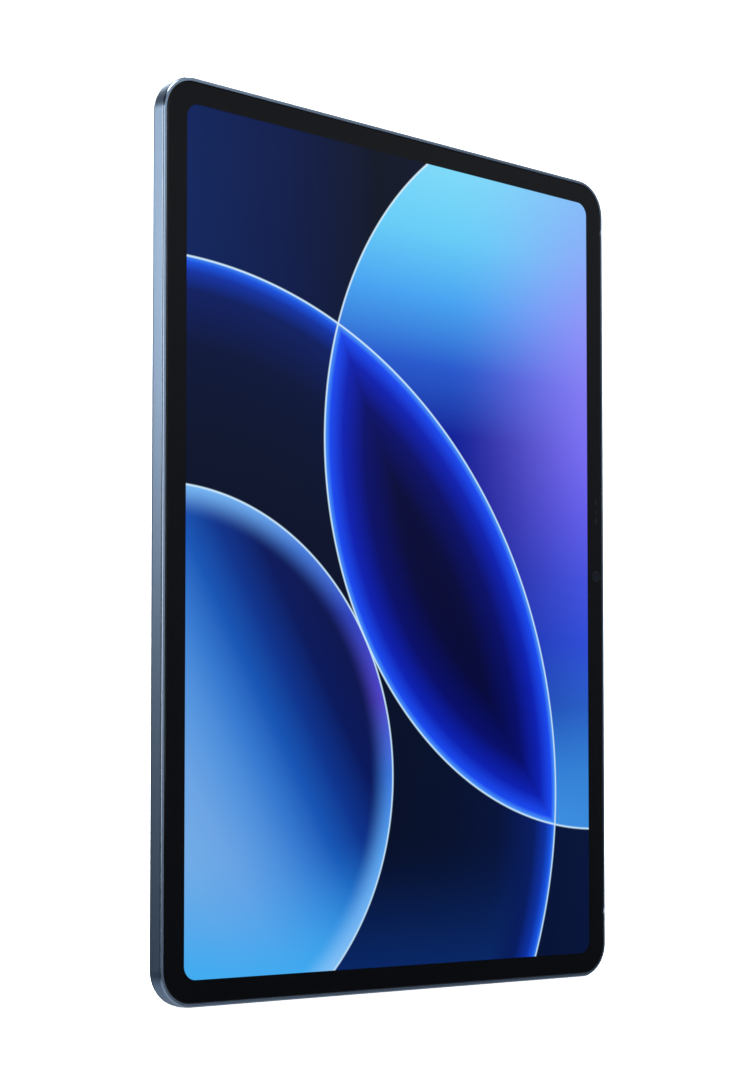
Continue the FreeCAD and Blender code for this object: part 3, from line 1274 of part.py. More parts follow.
for place, (middle_x, is_top) in speaker_places().items():
    NODES[f"speaker_box_{place}"] = lambda middle_x=middle_x, is_top=is_top: speaker_box(middle_x, is_top)


def main():
    os.makedirs("parts", exist_ok=True)
    for name, build in NODES.items():
        shape = build()
        if not shape.isValid() or shape.Volume <= 0:
            raise ValueError(f"{name} is not a valid solid")
        shape.exportStep(f"parts/{name}.step")
        print(f"{name}: {len(shape.Solids)} solid(s), {shape.Volume / 1000:.3f} cm3")


main()
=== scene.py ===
# %% [markdown]
# # The look of a tablet computer
#
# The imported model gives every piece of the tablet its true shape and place. This
# lesson adds what the eye sees: satin anodised metal, bonded display glass, a lit
# picture, and the small repeating things that are woven or soldered in rows.
# Everything is in metres, in the same frame as the model, so nothing has to be
# moved into place afterwards.

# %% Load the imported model
import math

import bmesh
import bpy
from mathutils import Matrix, Quaternion, Vector


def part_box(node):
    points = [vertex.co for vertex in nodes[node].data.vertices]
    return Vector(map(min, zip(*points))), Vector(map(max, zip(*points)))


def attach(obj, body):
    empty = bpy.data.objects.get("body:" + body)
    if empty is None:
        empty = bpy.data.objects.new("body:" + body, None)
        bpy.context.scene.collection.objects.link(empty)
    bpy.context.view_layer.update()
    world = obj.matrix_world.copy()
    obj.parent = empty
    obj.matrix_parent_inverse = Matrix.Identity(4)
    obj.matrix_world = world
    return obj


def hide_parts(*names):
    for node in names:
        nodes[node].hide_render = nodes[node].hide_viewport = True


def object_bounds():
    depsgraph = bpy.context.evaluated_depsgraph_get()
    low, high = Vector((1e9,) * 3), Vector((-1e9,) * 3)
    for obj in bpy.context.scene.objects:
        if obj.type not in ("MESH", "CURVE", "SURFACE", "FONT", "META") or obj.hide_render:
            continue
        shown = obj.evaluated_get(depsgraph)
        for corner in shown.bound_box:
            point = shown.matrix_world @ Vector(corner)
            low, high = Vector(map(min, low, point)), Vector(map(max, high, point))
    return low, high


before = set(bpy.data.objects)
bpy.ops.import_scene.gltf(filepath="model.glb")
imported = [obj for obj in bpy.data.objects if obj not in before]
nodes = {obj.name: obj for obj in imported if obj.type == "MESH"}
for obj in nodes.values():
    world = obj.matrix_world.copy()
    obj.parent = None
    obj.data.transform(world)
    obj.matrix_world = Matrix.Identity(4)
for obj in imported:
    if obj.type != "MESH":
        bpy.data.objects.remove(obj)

cad_low, cad_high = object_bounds()
size_mm = [round(1000 * side, 1) for side in cad_high - cad_low]
print(f"{len(nodes)} pieces from the model, {size_mm} mm overall")

# %% [markdown]
# ## Three small tools
#
# Shaders work in linear light, but people pick colours on a screen, so one function
# turns a hex colour into linear numbers. The second adds a node: its inputs get a
# number or a link, and its settings are given by name. The third starts an empty
# material. With these, a material reads like a recipe from top to bottom.

# %% Colours and nodes
MM = 0.001  # one millimetre in metres


def linear(hex_colour):
    """An sRGB hex colour as the linear RGBA that shaders work in."""
    levels = [int(hex_colour[at:at + 2], 16) / 255 for at in (1, 3, 5)]
    return (*(c / 12.92 if c <= 0.04045 else ((c + 0.055) / 1.055) ** 2.4 for c in levels), 1.0)


def add(tree, kind, inputs=None, stops=None, **settings):
    """Add a node. An input takes a value, a socket or a list of sockets; stops fill a ramp."""
    node = tree.nodes.new(kind)
    for setting, value in settings.items():
        setattr(node, setting, value)
    for key, value in (inputs or {}).items():
        for source in value if isinstance(value, list) else [value]:
            if isinstance(source, bpy.types.NodeSocket):
                tree.links.new(source, node.inputs[key])
            else:
                node.inputs[key].default_value = source
    if stops:
        marks = node.color_ramp.elements
        while len(marks) < len(stops):
            marks.new(0.5)
        for mark, (position, colour) in zip(marks, stops):
            mark.position, mark.color = position, linear(colour)
    return node


def new_material(name):
    """An empty material and its node tree."""
    made = bpy.data.materials.new(name)
    made.use_nodes = True
    made.node_tree.nodes.clear()
    return made, made.node_tree


print("mid grey in linear light:", round(linear("#808080")[0], 3))

# %% [markdown]
# ## Solid finishes
#
# Most pieces are one solid material whose surface was made by a process: blasting,
# rolling, moulding, plating. Each process leaves a grain. One noise pattern, sized in
# millimetres, drives three things together: a slight change of colour, a band of
# roughness, and a shallow bump. A second, much larger pattern keeps wide faces from
# looking printed. Rolling and brushing stretch the grain along one direction.
#
# A Principled shader is enough for all of them. Metals have Metallic at 1 and keep
# the default index of refraction; plastics have Metallic at 0.

# %% The recipe for a grained finish
PATCH_MM, PATCH_WEIGHT = 60, 0.2  # the larger pattern, and its weight beside the grain
DARKEST, LIGHTEST = 0.35, 0.85  # the values of the two together that get the end colours
GRAIN_BUMP = 0.5


def grained(name, colours, roughness, grain_mm, depth_mm, metallic=0.0, stretch=(1, 1, 1)):
    """A finish with a grain. Colours are (dark, light) and roughness is (least, most)."""
    made, tree = new_material(name)
    place = add(tree, "ShaderNodeTexCoord").outputs["Object"]
    scale = tuple(share / (grain_mm * MM) for share in stretch)
    fine = add(tree, "ShaderNodeMapping", {"Vector": place, "Scale": scale}).outputs[0]
    small = {"Vector": fine, "Scale": 1.0, "Detail": 2.0}
    grain = add(tree, "ShaderNodeTexNoise", small).outputs[0]
    large = {"Vector": place, "Scale": 1 / (PATCH_MM * MM), "Detail": 1.0}
    wide = add(tree, "ShaderNodeTexNoise", large).outputs[0]
    both = {0: wide, 1: PATCH_WEIGHT, 2: grain}
    both = add(tree, "ShaderNodeMath", both, operation="MULTIPLY_ADD").outputs[0]
    share = {"Value": both, "From Min": DARKEST, "From Max": LIGHTEST}
    share = add(tree, "ShaderNodeMapRange", share).outputs[0]
    tone = add(tree, "ShaderNodeValToRGB", {"Fac": share}, stops=list(zip((0.0, 1.0), colours)))
    rough = {"Value": share, "To Min": roughness[0], "To Max": roughness[1]}
    gloss = add(tree, "ShaderNodeMapRange", rough).outputs[0]
    relief = {"Height": grain, "Strength": GRAIN_BUMP, "Distance": depth_mm * MM}
    relief = add(tree, "ShaderNodeBump", relief).outputs[0]
    shader = add(tree, "ShaderNodeBsdfPrincipled", {
        "Base Color": tone.outputs[0], "Roughness": gloss, "Normal": relief, "Metallic": metallic,
    })
    add(tree, "ShaderNodeOutputMaterial", {"Surface": shader.outputs[0]})
    return made


finishes = {}
wanted = sorted({slot.material.name for node in nodes.values() for slot in node.material_slots})
print(len(wanted), "finishes to make:", ", ".join(wanted))

# %% [markdown]
# ### Anodised aluminium
#
# The housing is milled from a block, blasted with fine beads, then anodised and dyed
# blue-grey. The beads leave dimples far too small to see one by one, so the grain is
# drawn coarser, at 0.6 mm, and very shallow: what shows is a soft satin spread of the
# highlight. The edge round the glass is cut again with a diamond tool after
# anodising, which leaves it bright and nearly mirror-smooth.

# %% Housing metal, keys and the cut edge
satin = {"roughness": (0.33, 0.39), "grain_mm": 0.6, "depth_mm": 0.004, "metallic": 1.0}
anodised = grained("bead_blasted_anodised_aluminium", ("#8fa5be", "#98adc5"), **satin)
for slot in ("anodised_housing", "anodised_island", "anodised_keys"):
    finishes[slot] = anodised
cut_edge = grained("diamond_cut_aluminium", ("#b2c4d9", "#bccde0"), (0.16, 0.22), 1.2, 0.001, 1.0)
print("anodised aluminium on", [slot for slot, made in finishes.items() if made == anodised])

# %% [markdown]
# ### Steels, plated metals and moulded parts
#
# Stamped steel shields are rolled sheet, so their grain is long in one direction.
# Magnets are nickel plated and contacts are gold plated: smooth, with a faint orange
# peel. The plastics are moulded against a spark-eroded tool, which prints a matt
# pebble on them. Silicone and foam are soft and scatter light widely, so they are
# rough and nearly without a highlight.

# %% A table of solid finishes
RECIPES = {
    # slot: name, (dark, light), (least, most) roughness, grain mm, depth mm, and for a
    # metal 1.0; a rolled one then has the scale of its grain along each axis
    # Rolled sheet: fine lines one way and a streaked highlight.
    "bright_steel": ("rolled_stainless_steel", ("#9a9c9e", "#b8babc"), (0.22, 0.34),
                     0.5, 0.004, 1.0, (0.08, 1, 1)),
    # Stamped and left raw: greyer, with a broad highlight.
    "speaker_steel": ("stamped_speaker_steel", ("#5f6164", "#77797c"), (0.32, 0.45),
                      0.8, 0.006, 1.0, (1, 1, 0.1)),
    # Plating is smooth and gleams, warm in nickel and yellow in gold.
    "magnet_nickel": ("nickel_plate", ("#a9a59c", "#bdb9b0"), (0.14, 0.22), 2.0, 0.003, 1.0),
    "contact_gold": ("hard_gold_plate", ("#c99a3e", "#deb157"), (0.18, 0.28), 0.5, 0.002, 1.0),
    # Turned and polished, then anodised: the brightest metal on the back.
    "polished_ring": ("polished_ring_aluminium", ("#9fb0c4", "#b7c6d8"), (0.10, 0.16),
                      0.8, 0.001, 1.0),
    # Moulded and painted to match the metal, but without its gleam.
    "antenna_plastic": ("painted_antenna_nylon", ("#7c8b9c", "#8797a9"), (0.40, 0.50), 0.4, 0.004),
    # A spark-eroded mould leaves a matt pebble.
    "black_plastic": ("moulded_black_nylon", ("#131416", "#1d1e21"), (0.45, 0.60), 0.5, 0.010),
    "insulator_plastic": ("moulded_grey_polymer", ("#59646f", "#65717d"), (0.42, 0.52),
                          0.4, 0.006),
    # Soft rubbers hardly shine; the filled one is chalky.
    "seal_silicone": ("black_silicone_rubber", ("#1a1a1b", "#232324"), (0.62, 0.75), 0.9, 0.008),
    "thermal_silicone": ("filled_thermal_silicone", ("#7b8aa3", "#93a1b8"), (0.70, 0.85),
                         0.7, 0.020),
    # Wire darkened in a bath, with a faint glint.
    "speaker_mesh": ("blackened_steel_wire", ("#26282b", "#34373b"), (0.34, 0.46),
                     0.2, 0.002, 1.0),
}
for slot, recipe in RECIPES.items():
    finishes[slot] = grained(*recipe)
print(len(RECIPES), "solid finishes in the table")

# %% [markdown]
# ## The lit display
#
# The panel is bonded to the cover glass with clear adhesive, so there is no air gap
# and the picture seems to lie in the surface itself. Modelling that as a clear slab
# over a lit panel is possible, but every ray then has to find its way through the
# glass. It is simpler and cleaner to let the glass carry both jobs: a smooth dark
# dielectric that mirrors the room, with emission where the panel is lit. The border
# is black ink printed on the back of the glass, so it stays unlit.
#
# The picture is drawn from three plain discs. For each disc one number is enough:
# how far a point lies outside its rim, in millimetres, negative inside. Colours,
# edges and glows are then ramps over a few such measures.

# %% Measures on the glass, in millimetres
glass_low, glass_high = (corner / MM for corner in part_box("cover_glass"))
camera_low, camera_high = (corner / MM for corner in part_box("front_camera_lens"))
SCREEN_WIDTH, SCREEN_HEIGHT, SCREEN_CORNER = 157.9, 236.6, 3.9  # a 3:2 panel of 11.2 inches
DISCS = {  # x, z and radius
    "upper": (82, 158, 112), "wide": (-80, 58, 144), "lower": (-82, 62, 78),
}

display_glass, screen = new_material("bonded_display_glass")
place = add(screen, "ShaderNodeTexCoord").outputs["Object"]
in_mm = {0: place, 1: (1 / MM, 1 / MM, 1 / MM)}
spot = add(screen, "ShaderNodeVectorMath", in_mm, operation="MULTIPLY").outputs[0]
no_depth = {0: spot, 1: (1, 0, 1)}
flat = add(screen, "ShaderNodeVectorMath", no_depth, operation="MULTIPLY").outputs[0]
apart = add(screen, "ShaderNodeSeparateXYZ", {0: spot}).outputs
measures = {"across": apart["X"], "behind": apart["Y"], "height": apart["Z"]}

centres = {label: ((x, 0, z), radius) for label, (x, z, radius) in DISCS.items()}
camera = (camera_low + camera_high) / 2
centres["camera"] = ((camera.x, 0, camera.z), 0)
sensors = sum(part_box("light_sensors"), Vector()) / 2 / MM
for number, step in enumerate((-3, 0, 3)):
    centres[f"sensor {number}"] = ((camera.x, 0, sensors.z + step), 0)
for label, (centre, radius) in centres.items():
    ends = {0: flat, 1: centre}
    reach = add(screen, "ShaderNodeVectorMath", ends, operation="DISTANCE").outputs["Value"]
    outside = {0: reach, 1: radius}
    measures[label] = add(screen, "ShaderNodeMath", outside, operation="SUBTRACT").outputs[0]
for label in DISCS:
    rim = add(screen, "ShaderNodeMath", {0: measures[label]}, operation="ABSOLUTE").outputs[0]
    measures[label + " rim"] = rim
nearer = {0: measures["upper"], 1: measures["wide"]}
measures["lens"] = add(screen, "ShaderNodeMath", nearer, operation="MAXIMUM").outputs[0]
leaning = {0: flat, 1: (-0.0092, 0, -0.0056)}  # rises by this much a mm, to the lower left
slope = add(screen, "ShaderNodeVectorMath", leaning, operation="DOT_PRODUCT")
measures["slope"] = slope.outputs["Value"]

# The screen's rounded outline: how far a point is past the corner circles' centres.
half = (SCREEN_WIDTH / 2 - SCREEN_CORNER, 0, SCREEN_HEIGHT / 2 - SCREEN_CORNER)
middle = (0, 0, (glass_low.z + glass_high.z) / 2)
past = flat
steps = (("SUBTRACT", middle), ("ABSOLUTE", None), ("SUBTRACT", half), ("MAXIMUM", (0, 0, 0)))
for operation, second in steps:
    pair = {0: past} if second is None else {0: past, 1: second}
    past = add(screen, "ShaderNodeVectorMath", pair, operation=operation).outputs[0]
outline = add(screen, "ShaderNodeVectorMath", {0: past}, operation="LENGTH")
measures["outline"] = outline.outputs["Value"]
print(len(measures), "measures:", ", ".join(measures))

# %% [markdown]
# ### From measures to colours
#
# Two small tables say everything about the picture. A fill is a ramp of colours over
# one measure. A share says how strongly a fill is laid on: 1 at one value of a
# measure, falling smoothly to 0 at another. Light seems to pour into each disc from
# its rim, so most ramps run inwards from there. Where the upper and wide discs
# overlap, the nearer rim decides, and that makes the dark lens in the middle.

# %% Fills and shares
FILLS = {  # a measure, then stops of value in mm and colour
    "ground": ("across", [(-80, "#03205c"), (-45, "#02154a"), (-10, "#020a20"), (80, "#04123a")]),
    "wide": ("wide", [
        (-90, "#040b22"), (-45, "#030d2c"), (-24, "#03103a"), (-9, "#041a60"),
        (-4, "#0a30a0"), (-1.5, "#1450dc"), (0, "#3a86f2"),
    ]),
    "upper right": ("height", [
        (45, "#3a8ade"), (64, "#3482d4"), (84, "#2a62ca"), (104, "#3050dc"),
        (124, "#4856e6"), (144, "#6862f2"), (164, "#7e72fa"), (184, "#8a7ef8"),
        (204, "#928ef8"), (243, "#86b4f8"),
    ]),
    "upper left": ("height", [
        (50, "#3f94e6"), (64, "#2b78d8"), (84, "#0a2a98"), (104, "#081c94"),
        (124, "#07128a"), (144, "#08148e"), (164, "#081c98"), (184, "#2458cc"),
        (204, "#46a2f0"), (224, "#66ccf6"), (243, "#7cd8f8"),
    ]),
    "lens": ("lens", [
        (-42, "#000028"), (-26, "#00013a"), (-15, "#02086a"), (-7, "#081eb0"),
        (-2, "#1848ee"), (0, "#4e9cf6"),
    ]),
    "lower": ("slope", [
        (-0.75, "#0a1050"), (-0.35, "#08124e"), (-0.22, "#05165c"), (-0.1, "#0a328c"),
        (0.02, "#1656b6"), (0.13, "#3679d0"), (0.25, "#5494de"), (0.37, "#6ca4e4"),
        (0.5, "#72ace6"), (0.75, "#66b2ec"),
    ]),
    "lower foot": ("height", [(0, "#3aaef2"), (46, "#2a96ec")]),
    "wide foot": ("height", [(0, "#06296c"), (46, "#05205a")]),
    "lower glow": ("height", [
        (0, "#8cc8f8"), (40, "#5aa4f0"), (62, "#3c7ae0"), (84, "#5244cc"),
        (108, "#3448c4"), (125, "#4a80e0"), (140, "#78b8f4"),
    ]),
    "rim": ("height", [(0, "#bfe2fb"), (250, "#d6effd")]),
    "ink": ("behind", [(-3.1, "#08080a"), (-2.5, "#0a0a0c")]),
    "unlit": ("behind", [(-3.1, "#000000"), (-2.5, "#0a0a0c")]),
    # The front camera's lens: its bluish centre and the ring at 0.8 mm are a painted highlight; a
    # pale ring lies at 1.5 mm.
    "camera": ("camera", [
        (0, "#20304c"), (0.3, "#0b1120"), (0.62, "#05060a"), (0.8, "#1c2230"),
        (0.95, "#060609"), (1.35, "#0b0b0e"), (1.5, "#26292f"), (1.7, "#0c0c0e"),
    ]),
    "sensor": ("across", [(82, "#14131c"), (84, "#191724")]),
}
SHARES = {  # a measure, where the share is 1, where it has fallen to 0
    "in upper": ("upper", -0.1, 0.1),
    "in wide": ("wide", -0.1, 0.1),
    "out of wide": ("wide", 0.1, -0.1),
    "to the left": ("across", 18, 96),
    "in lower": ("lower", -0.1, 0.1),
    "under lower rim": ("lower", 0.5, -9),
    "deep in wide": ("wide", -20, -8),
    "near the foot": ("height", -4, 46),
    "on upper rim": ("upper rim", 0, 0.5),
    "on wide rim": ("wide rim", 0, 0.5),
    "on lower rim": ("lower rim", 0, 0.5),
    "on screen": ("outline", SCREEN_CORNER - 0.08, SCREEN_CORNER + 0.08),
    "on front": ("behind", -3.09, -3.02),
    "at camera": ("camera", 1.6, 1.7),
    "at sensor 0": ("sensor 0", 0.7, 0.8),
    "at sensor 1": ("sensor 1", 0.5, 0.6),
    "at sensor 2": ("sensor 2", 0.7, 0.8),
}
fills, shares = {}, {}
for label, (measure, marks) in FILLS.items():
    first, last = marks[0][0], marks[-1][0]
    span = {"Value": measures[measure], "From Min": first, "From Max": last}
    along = add(screen, "ShaderNodeMapRange", span).outputs[0]
    spread = [((value - first) / (last - first), colour) for value, colour in marks]
    fills[label] = add(screen, "ShaderNodeValToRGB", {"Fac": along}, stops=spread).outputs[0]
for label, (measure, full, none) in SHARES.items():
    span = {"Value": measures[measure], "From Min": full, "From Max": none}
    span.update({"To Min": 1, "To Max": 0})
    fall = add(screen, "ShaderNodeMapRange", span, interpolation_type="SMOOTHSTEP")
    shares[label] = fall.outputs[0]
print(len(fills), "fills and", len(shares), "shares")

# %% [markdown]
# ### Laying the colours on
#
# The last table is the order of painting. Where a layer names several shares they
# multiply, so "in upper" with "out of wide" is the part of one disc outside another.
# The same loop paints twice: once for the light that the panel gives out, and once
# for what is printed on the glass, where the camera and the light sensors look out;
# the camera's lens there carries a painted highlight.

# %% Paint the picture and the printed border, then finish the glass
def painted(start, layers):
    """Lay fills over a first fill, each by the product of its shares."""
    result = fills[start]
    for names, fill in layers:
        share = shares[names[0]]
        for name in names[1:]:
            pair = {0: share, 1: shares[name]}
            share = add(screen, "ShaderNodeMath", pair, operation="MULTIPLY").outputs[0]
        layer = {0: share, 6: result, 7: fills[fill]}
        result = add(screen, "ShaderNodeMix", layer, data_type="RGBA").outputs[2]
    return result


picture = painted("ground", [
    (("in wide",), "wide"),
    (("deep in wide", "near the foot"), "wide foot"),
    (("in upper", "out of wide"), "upper right"),
    (("in upper", "out of wide", "to the left"), "upper left"),
    (("in upper", "in wide"), "lens"),
    (("in lower",), "lower"),
    (("in lower", "near the foot"), "lower foot"),
    (("in lower", "under lower rim"), "lower glow"),
    (("on upper rim",), "rim"),
    (("on wide rim",), "rim"),
    (("on lower rim",), "rim"),
])
# The ink with its sensor windows and the camera, whose lens holds a painted highlight.
ink_and_lens_highlight = painted("ink", [
    (("on screen",), "unlit"),
    (("at camera", "on front"), "camera"),
    (("at sensor 0", "on front"), "sensor"),
    (("at sensor 1", "on front"), "sensor"),
    (("at sensor 2", "on front"), "sensor"),
])
lit = {0: shares["on screen"], 1: shares["on front"]}
lit = add(screen, "ShaderNodeMath", lit, operation="MULTIPLY").outputs[0]
glow = {0: lit, 6: linear("#000000"), 7: picture}
glow = add(screen, "ShaderNodeMix", glow, data_type="RGBA").outputs[2]
SMUDGE_MM = 40  # faint greasy patches, which only change the gloss
smudge = {"Vector": place, "Scale": 1 / (SMUDGE_MM * MM), "Detail": 3.0}
smudge = add(screen, "ShaderNodeTexNoise", smudge).outputs[0]
gloss = {"Value": smudge, "To Min": 0.03, "To Max": 0.07}
gloss = add(screen, "ShaderNodeMapRange", gloss).outputs[0]
glass = add(screen, "ShaderNodeBsdfPrincipled", {
    "Base Color": ink_and_lens_highlight, "Roughness": gloss, "IOR": 1.51, "Specular IOR Level": 0.3,
    "Emission Color": glow, "Emission Strength": 1.0,
})
add(screen, "ShaderNodeOutputMaterial", {"Surface": glass.outputs[0]})
finishes["cover_glass"] = display_glass
print("glass finished with", len(screen.nodes), "nodes")

# %% [markdown]
# ## Patterned finishes inside
#
# Some pieces are known by a regular pattern: traces on a board, copper lines in a
# ribbon, an embossed pouch, open cells in foam, etched dots on the light guide, and
# the coloured stripes of the panel itself. The recipe is the same as for a grain, but
# one of Blender's patterned textures takes the place of the noise. Each scale comes
# from a real pitch; the finest ones are drawn coarser, and the table says so.

# %% The recipe for a patterned finish
PATTERN_PATCH_MM, PATTERN_BUMP = 8, 0.6


def patterned(name, texture, pitch_mm, marks, roughness, depth_mm, metallic=0.0):
    """A finish whose colour and bump follow one texture, sized by the pattern's real pitch."""
    kind, settings, values = texture
    made, tree = new_material(name)
    place = add(tree, "ShaderNodeTexCoord").outputs["Object"]
    turn = {"Vector": place, "Rotation": (math.pi / 2, 0, 0), "Scale": (1 / (pitch_mm * MM),) * 3}
    sized = add(tree, "ShaderNodeMapping", turn).outputs[0]
    outs = add(tree, kind, {"Vector": sized, **values}, **settings).outputs
    pattern = next(out for out in outs if out.enabled and out.name in ("Fac", "Distance"))
    tone = add(tree, "ShaderNodeValToRGB", {"Fac": pattern}, stops=marks).outputs[0]
    relief = {"Height": pattern, "Strength": PATTERN_BUMP, "Distance": depth_mm * MM}
    relief = add(tree, "ShaderNodeBump", relief).outputs[0]
    wide = {"Vector": place, "Scale": 1 / (PATTERN_PATCH_MM * MM), "Detail": 2.0}
    wide = add(tree, "ShaderNodeTexNoise", wide).outputs[0]
    rough = {"Value": wide, "To Min": roughness[0], "To Max": roughness[1]}
    gloss = add(tree, "ShaderNodeMapRange", rough).outputs[0]
    shader = add(tree, "ShaderNodeBsdfPrincipled", {
        "Base Color": tone, "Roughness": gloss, "Normal": relief, "Metallic": metallic,
    })
    add(tree, "ShaderNodeOutputMaterial", {"Surface": shader.outputs[0]})
    return made


# Each texture: its kind of node, its settings and its values.
BANDS = ("ShaderNodeTexWave", {"wave_type": "BANDS", "bands_direction": "X"}, {"Scale": 0.314})
CELLS = ("ShaderNodeTexVoronoi", {"feature": "F1"}, {"Scale": 1.0})
GRID = ("ShaderNodeTexVoronoi", {"feature": "F1"}, {"Scale": 1.0, "Randomness": 0.0})
TRACES = ("ShaderNodeTexBrick", {"offset": 0.37, "squash": 2.0},
          {"Scale": 1.0, "Mortar Size": 0.035})
PATTERNS = {
    # slot: name, texture, pitch mm, colours at shares of it, roughness, depth mm, metallic
    # Copper lines under amber polyimide film, at a 0.5 mm pitch drawn as 0.8 mm.
    "flex_circuit": ("polyimide_flex_circuit", BANDS, 0.8,
                     [(0.35, "#3a1d08"), (0.65, "#7c4516")], (0.25, 0.38), 0.02),
    # Black solder mask over etched copper: slightly raised runs at right angles.
    "board_laminate": ("black_solder_mask_laminate", TRACES, 2.4,
                       [(0.0, "#0c1a24"), (1.0, "#17303c")], (0.30, 0.42), 0.03),
    # Polyamide and aluminium laminate, pressed with a fine diamond pattern.
    "pouch_foil": ("embossed_pouch_laminate", GRID, 1.6,
                   [(0.0, "#6d7176"), (0.7, "#4b4e53")], (0.34, 0.46), 0.02, 0.6),
    # Urethane foam with open cells about 0.4 mm across.
    "black_foam": ("open_cell_urethane_foam", CELLS, 0.4,
                   [(0.0, "#08080a"), (0.9, "#242427")], (0.85, 0.95), 0.10),
    # Acrylic sheet with a grid of etched dots that lead the light out.
    "light_guide": ("etched_acrylic_guide", GRID, 1.2,
                    [(0.1, "#f2f5f8"), (0.35, "#cfd8e2")], (0.12, 0.2), 0.01),
    # Mould compound filled with silica, finely speckled.
    "chip_package": ("epoxy_mould_compound", CELLS, 0.25,
                     [(0.0, "#1a1a1c"), (0.9, "#27272a")], (0.5, 0.62), 0.01),
    # Yellow phosphor cast in silicone over blue emitters, in small granules.
    "led_phosphor": ("cast_yellow_phosphor", CELLS, 0.3,
                     [(0.0, "#e2c04a"), (0.9, "#f0d873")], (0.45, 0.55), 0.02),
    # Red, green and blue stripes, 0.09 mm wide on the real panel and drawn at 0.6 mm.
    "display_panel": ("striped_colour_filter", BANDS, 0.6,
                      [(0.2, "#16264f"), (0.5, "#1d4a3c"), (0.8, "#4f1d26")],
                      (0.08, 0.14), 0.001),
}
for slot, recipe in PATTERNS.items():
    finishes[slot] = patterned(*recipe)
print(len(PATTERNS), "patterned finishes")

# %% [markdown]
# ## Clear glass and coated lenses
#
# The two windows on the back are flat clear glass. Light from a lamp would have to
# bend through them to reach what lies behind, which takes many samples, so a shadow
# ray passes straight through instead: a common trick for thin panes. Lenses carry an
# anti-reflection coating, which turns the little that they still mirror violet. Here
# that violet is painted into the lens's colour by how squarely it faces the eye: a
# painted sheen in place of the coating's reflection.

# %% Windows, lens glass and adhesive film
PANES = {
    # slot: name, tint, index of refraction, roughness
    "window_glass": ("clear_sapphire_window", "#f4f8fb", 1.76, (0.0, 0.02)),
    "clear_adhesive": ("clear_acrylic_adhesive", "#eef1f4", 1.47, (0.10, 0.20)),
}
PANE_PATCH_MM, LENS_PATCH_MM = 6, 2  # patches where the gloss differs a little
for slot, (name, tint, ior, roughness) in PANES.items():
    made, tree = new_material(name)
    place = add(tree, "ShaderNodeTexCoord").outputs["Object"]
    wide = {"Vector": place, "Scale": 1 / (PANE_PATCH_MM * MM)}
    wide = add(tree, "ShaderNodeTexNoise", wide).outputs[0]
    rough = {"Value": wide, "To Min": roughness[0], "To Max": roughness[1]}
    gloss = add(tree, "ShaderNodeMapRange", rough).outputs[0]
    pane = add(tree, "ShaderNodeBsdfPrincipled", {
        "Base Color": linear(tint), "Roughness": gloss, "IOR": ior, "Transmission Weight": 1.0,
    })
    open_way = add(tree, "ShaderNodeBsdfTransparent", {"Color": linear(tint)})
    shadow = add(tree, "ShaderNodeLightPath").outputs["Is Shadow Ray"]
    either = {0: shadow, 1: pane.outputs[0], 2: open_way.outputs[0]}
    either = add(tree, "ShaderNodeMixShader", either).outputs[0]
    add(tree, "ShaderNodeOutputMaterial", {"Surface": either})
    finishes[slot] = made

coated, tree = new_material("coated_lens_glass")
# The colour follows how squarely the lens faces the eye, violet part way to edge on: a painted
# sheen for the coating's reflection.
painted_sheen_facing = add(tree, "ShaderNodeLayerWeight", {"Blend": 0.35}).outputs["Facing"]
tone = add(tree, "ShaderNodeValToRGB", {"Fac": painted_sheen_facing}, stops=[
    (0.0, "#0a0c16"), (0.35, "#101a3a"), (0.6, "#3a2a66"), (1.0, "#0c1020"),
]).outputs[0]
place = add(tree, "ShaderNodeTexCoord").outputs["Object"]
wide = {"Vector": place, "Scale": 1 / (LENS_PATCH_MM * MM)}
wide = add(tree, "ShaderNodeTexNoise", wide).outputs[0]
gloss = {"Value": wide, "To Min": 0.02, "To Max": 0.05}
gloss = add(tree, "ShaderNodeMapRange", gloss).outputs[0]
lens_shader = add(tree, "ShaderNodeBsdfPrincipled", {
    "Base Color": tone, "Roughness": gloss, "IOR": 1.6, "Coat Weight": 1.0, "Coat Roughness": 0.02,
})
add(tree, "ShaderNodeOutputMaterial", {"Surface": lens_shader.outputs[0]})
finishes["lens_glass"] = coated
print("clear finishes:", ", ".join(PANES), "and lens_glass")

# %% [markdown]
# ## Giving every piece its finish
#
# Each piece of the model arrives with a material slot named for its finish. The
# dictionary made above uses the same names, so one loop dresses them all, and the
# print shows at once if a slot was forgotten.

# %% Dress the pieces of the model
worn = {}
for label, node in nodes.items():
    for socket in node.material_slots:
        slot = socket.material.name
        socket.material = finishes[slot]
        worn.setdefault(slot, []).append(label)
print({slot: len(pieces) for slot, pieces in sorted(worn.items())})
print("slots without a finish:", sorted(set(worn) - set(finishes)))

# %% [markdown]
# ## The housing, with its bright edge
#
# A milled housing is one shape with two finishes: satin all over, and a bright cut
# edge round the glass. Splitting the finish by face keeps the line between them
# crisp at any size. The model's own mesh stays as it is, so a copy is merged into
# one skin, its corners are found again by angle, and weighted normals keep the large
# flats flat right up to the rounded edges. The cut edge is the ring of faces that
# slope both forwards and outwards just behind the rim.

# %% Merge a copy of the housing and mark its cut edge
WELD = 0.002 * MM  # points closer than this are one
CORNER_ANGLE = math.radians(32)  # a sharper fold than this is a crisp corner


def placed(name, data):
    """A new object that holds the data, linked into the scene."""
    made = bpy.data.objects.new(name, data)
    bpy.context.scene.collection.objects.link(made)
    return made


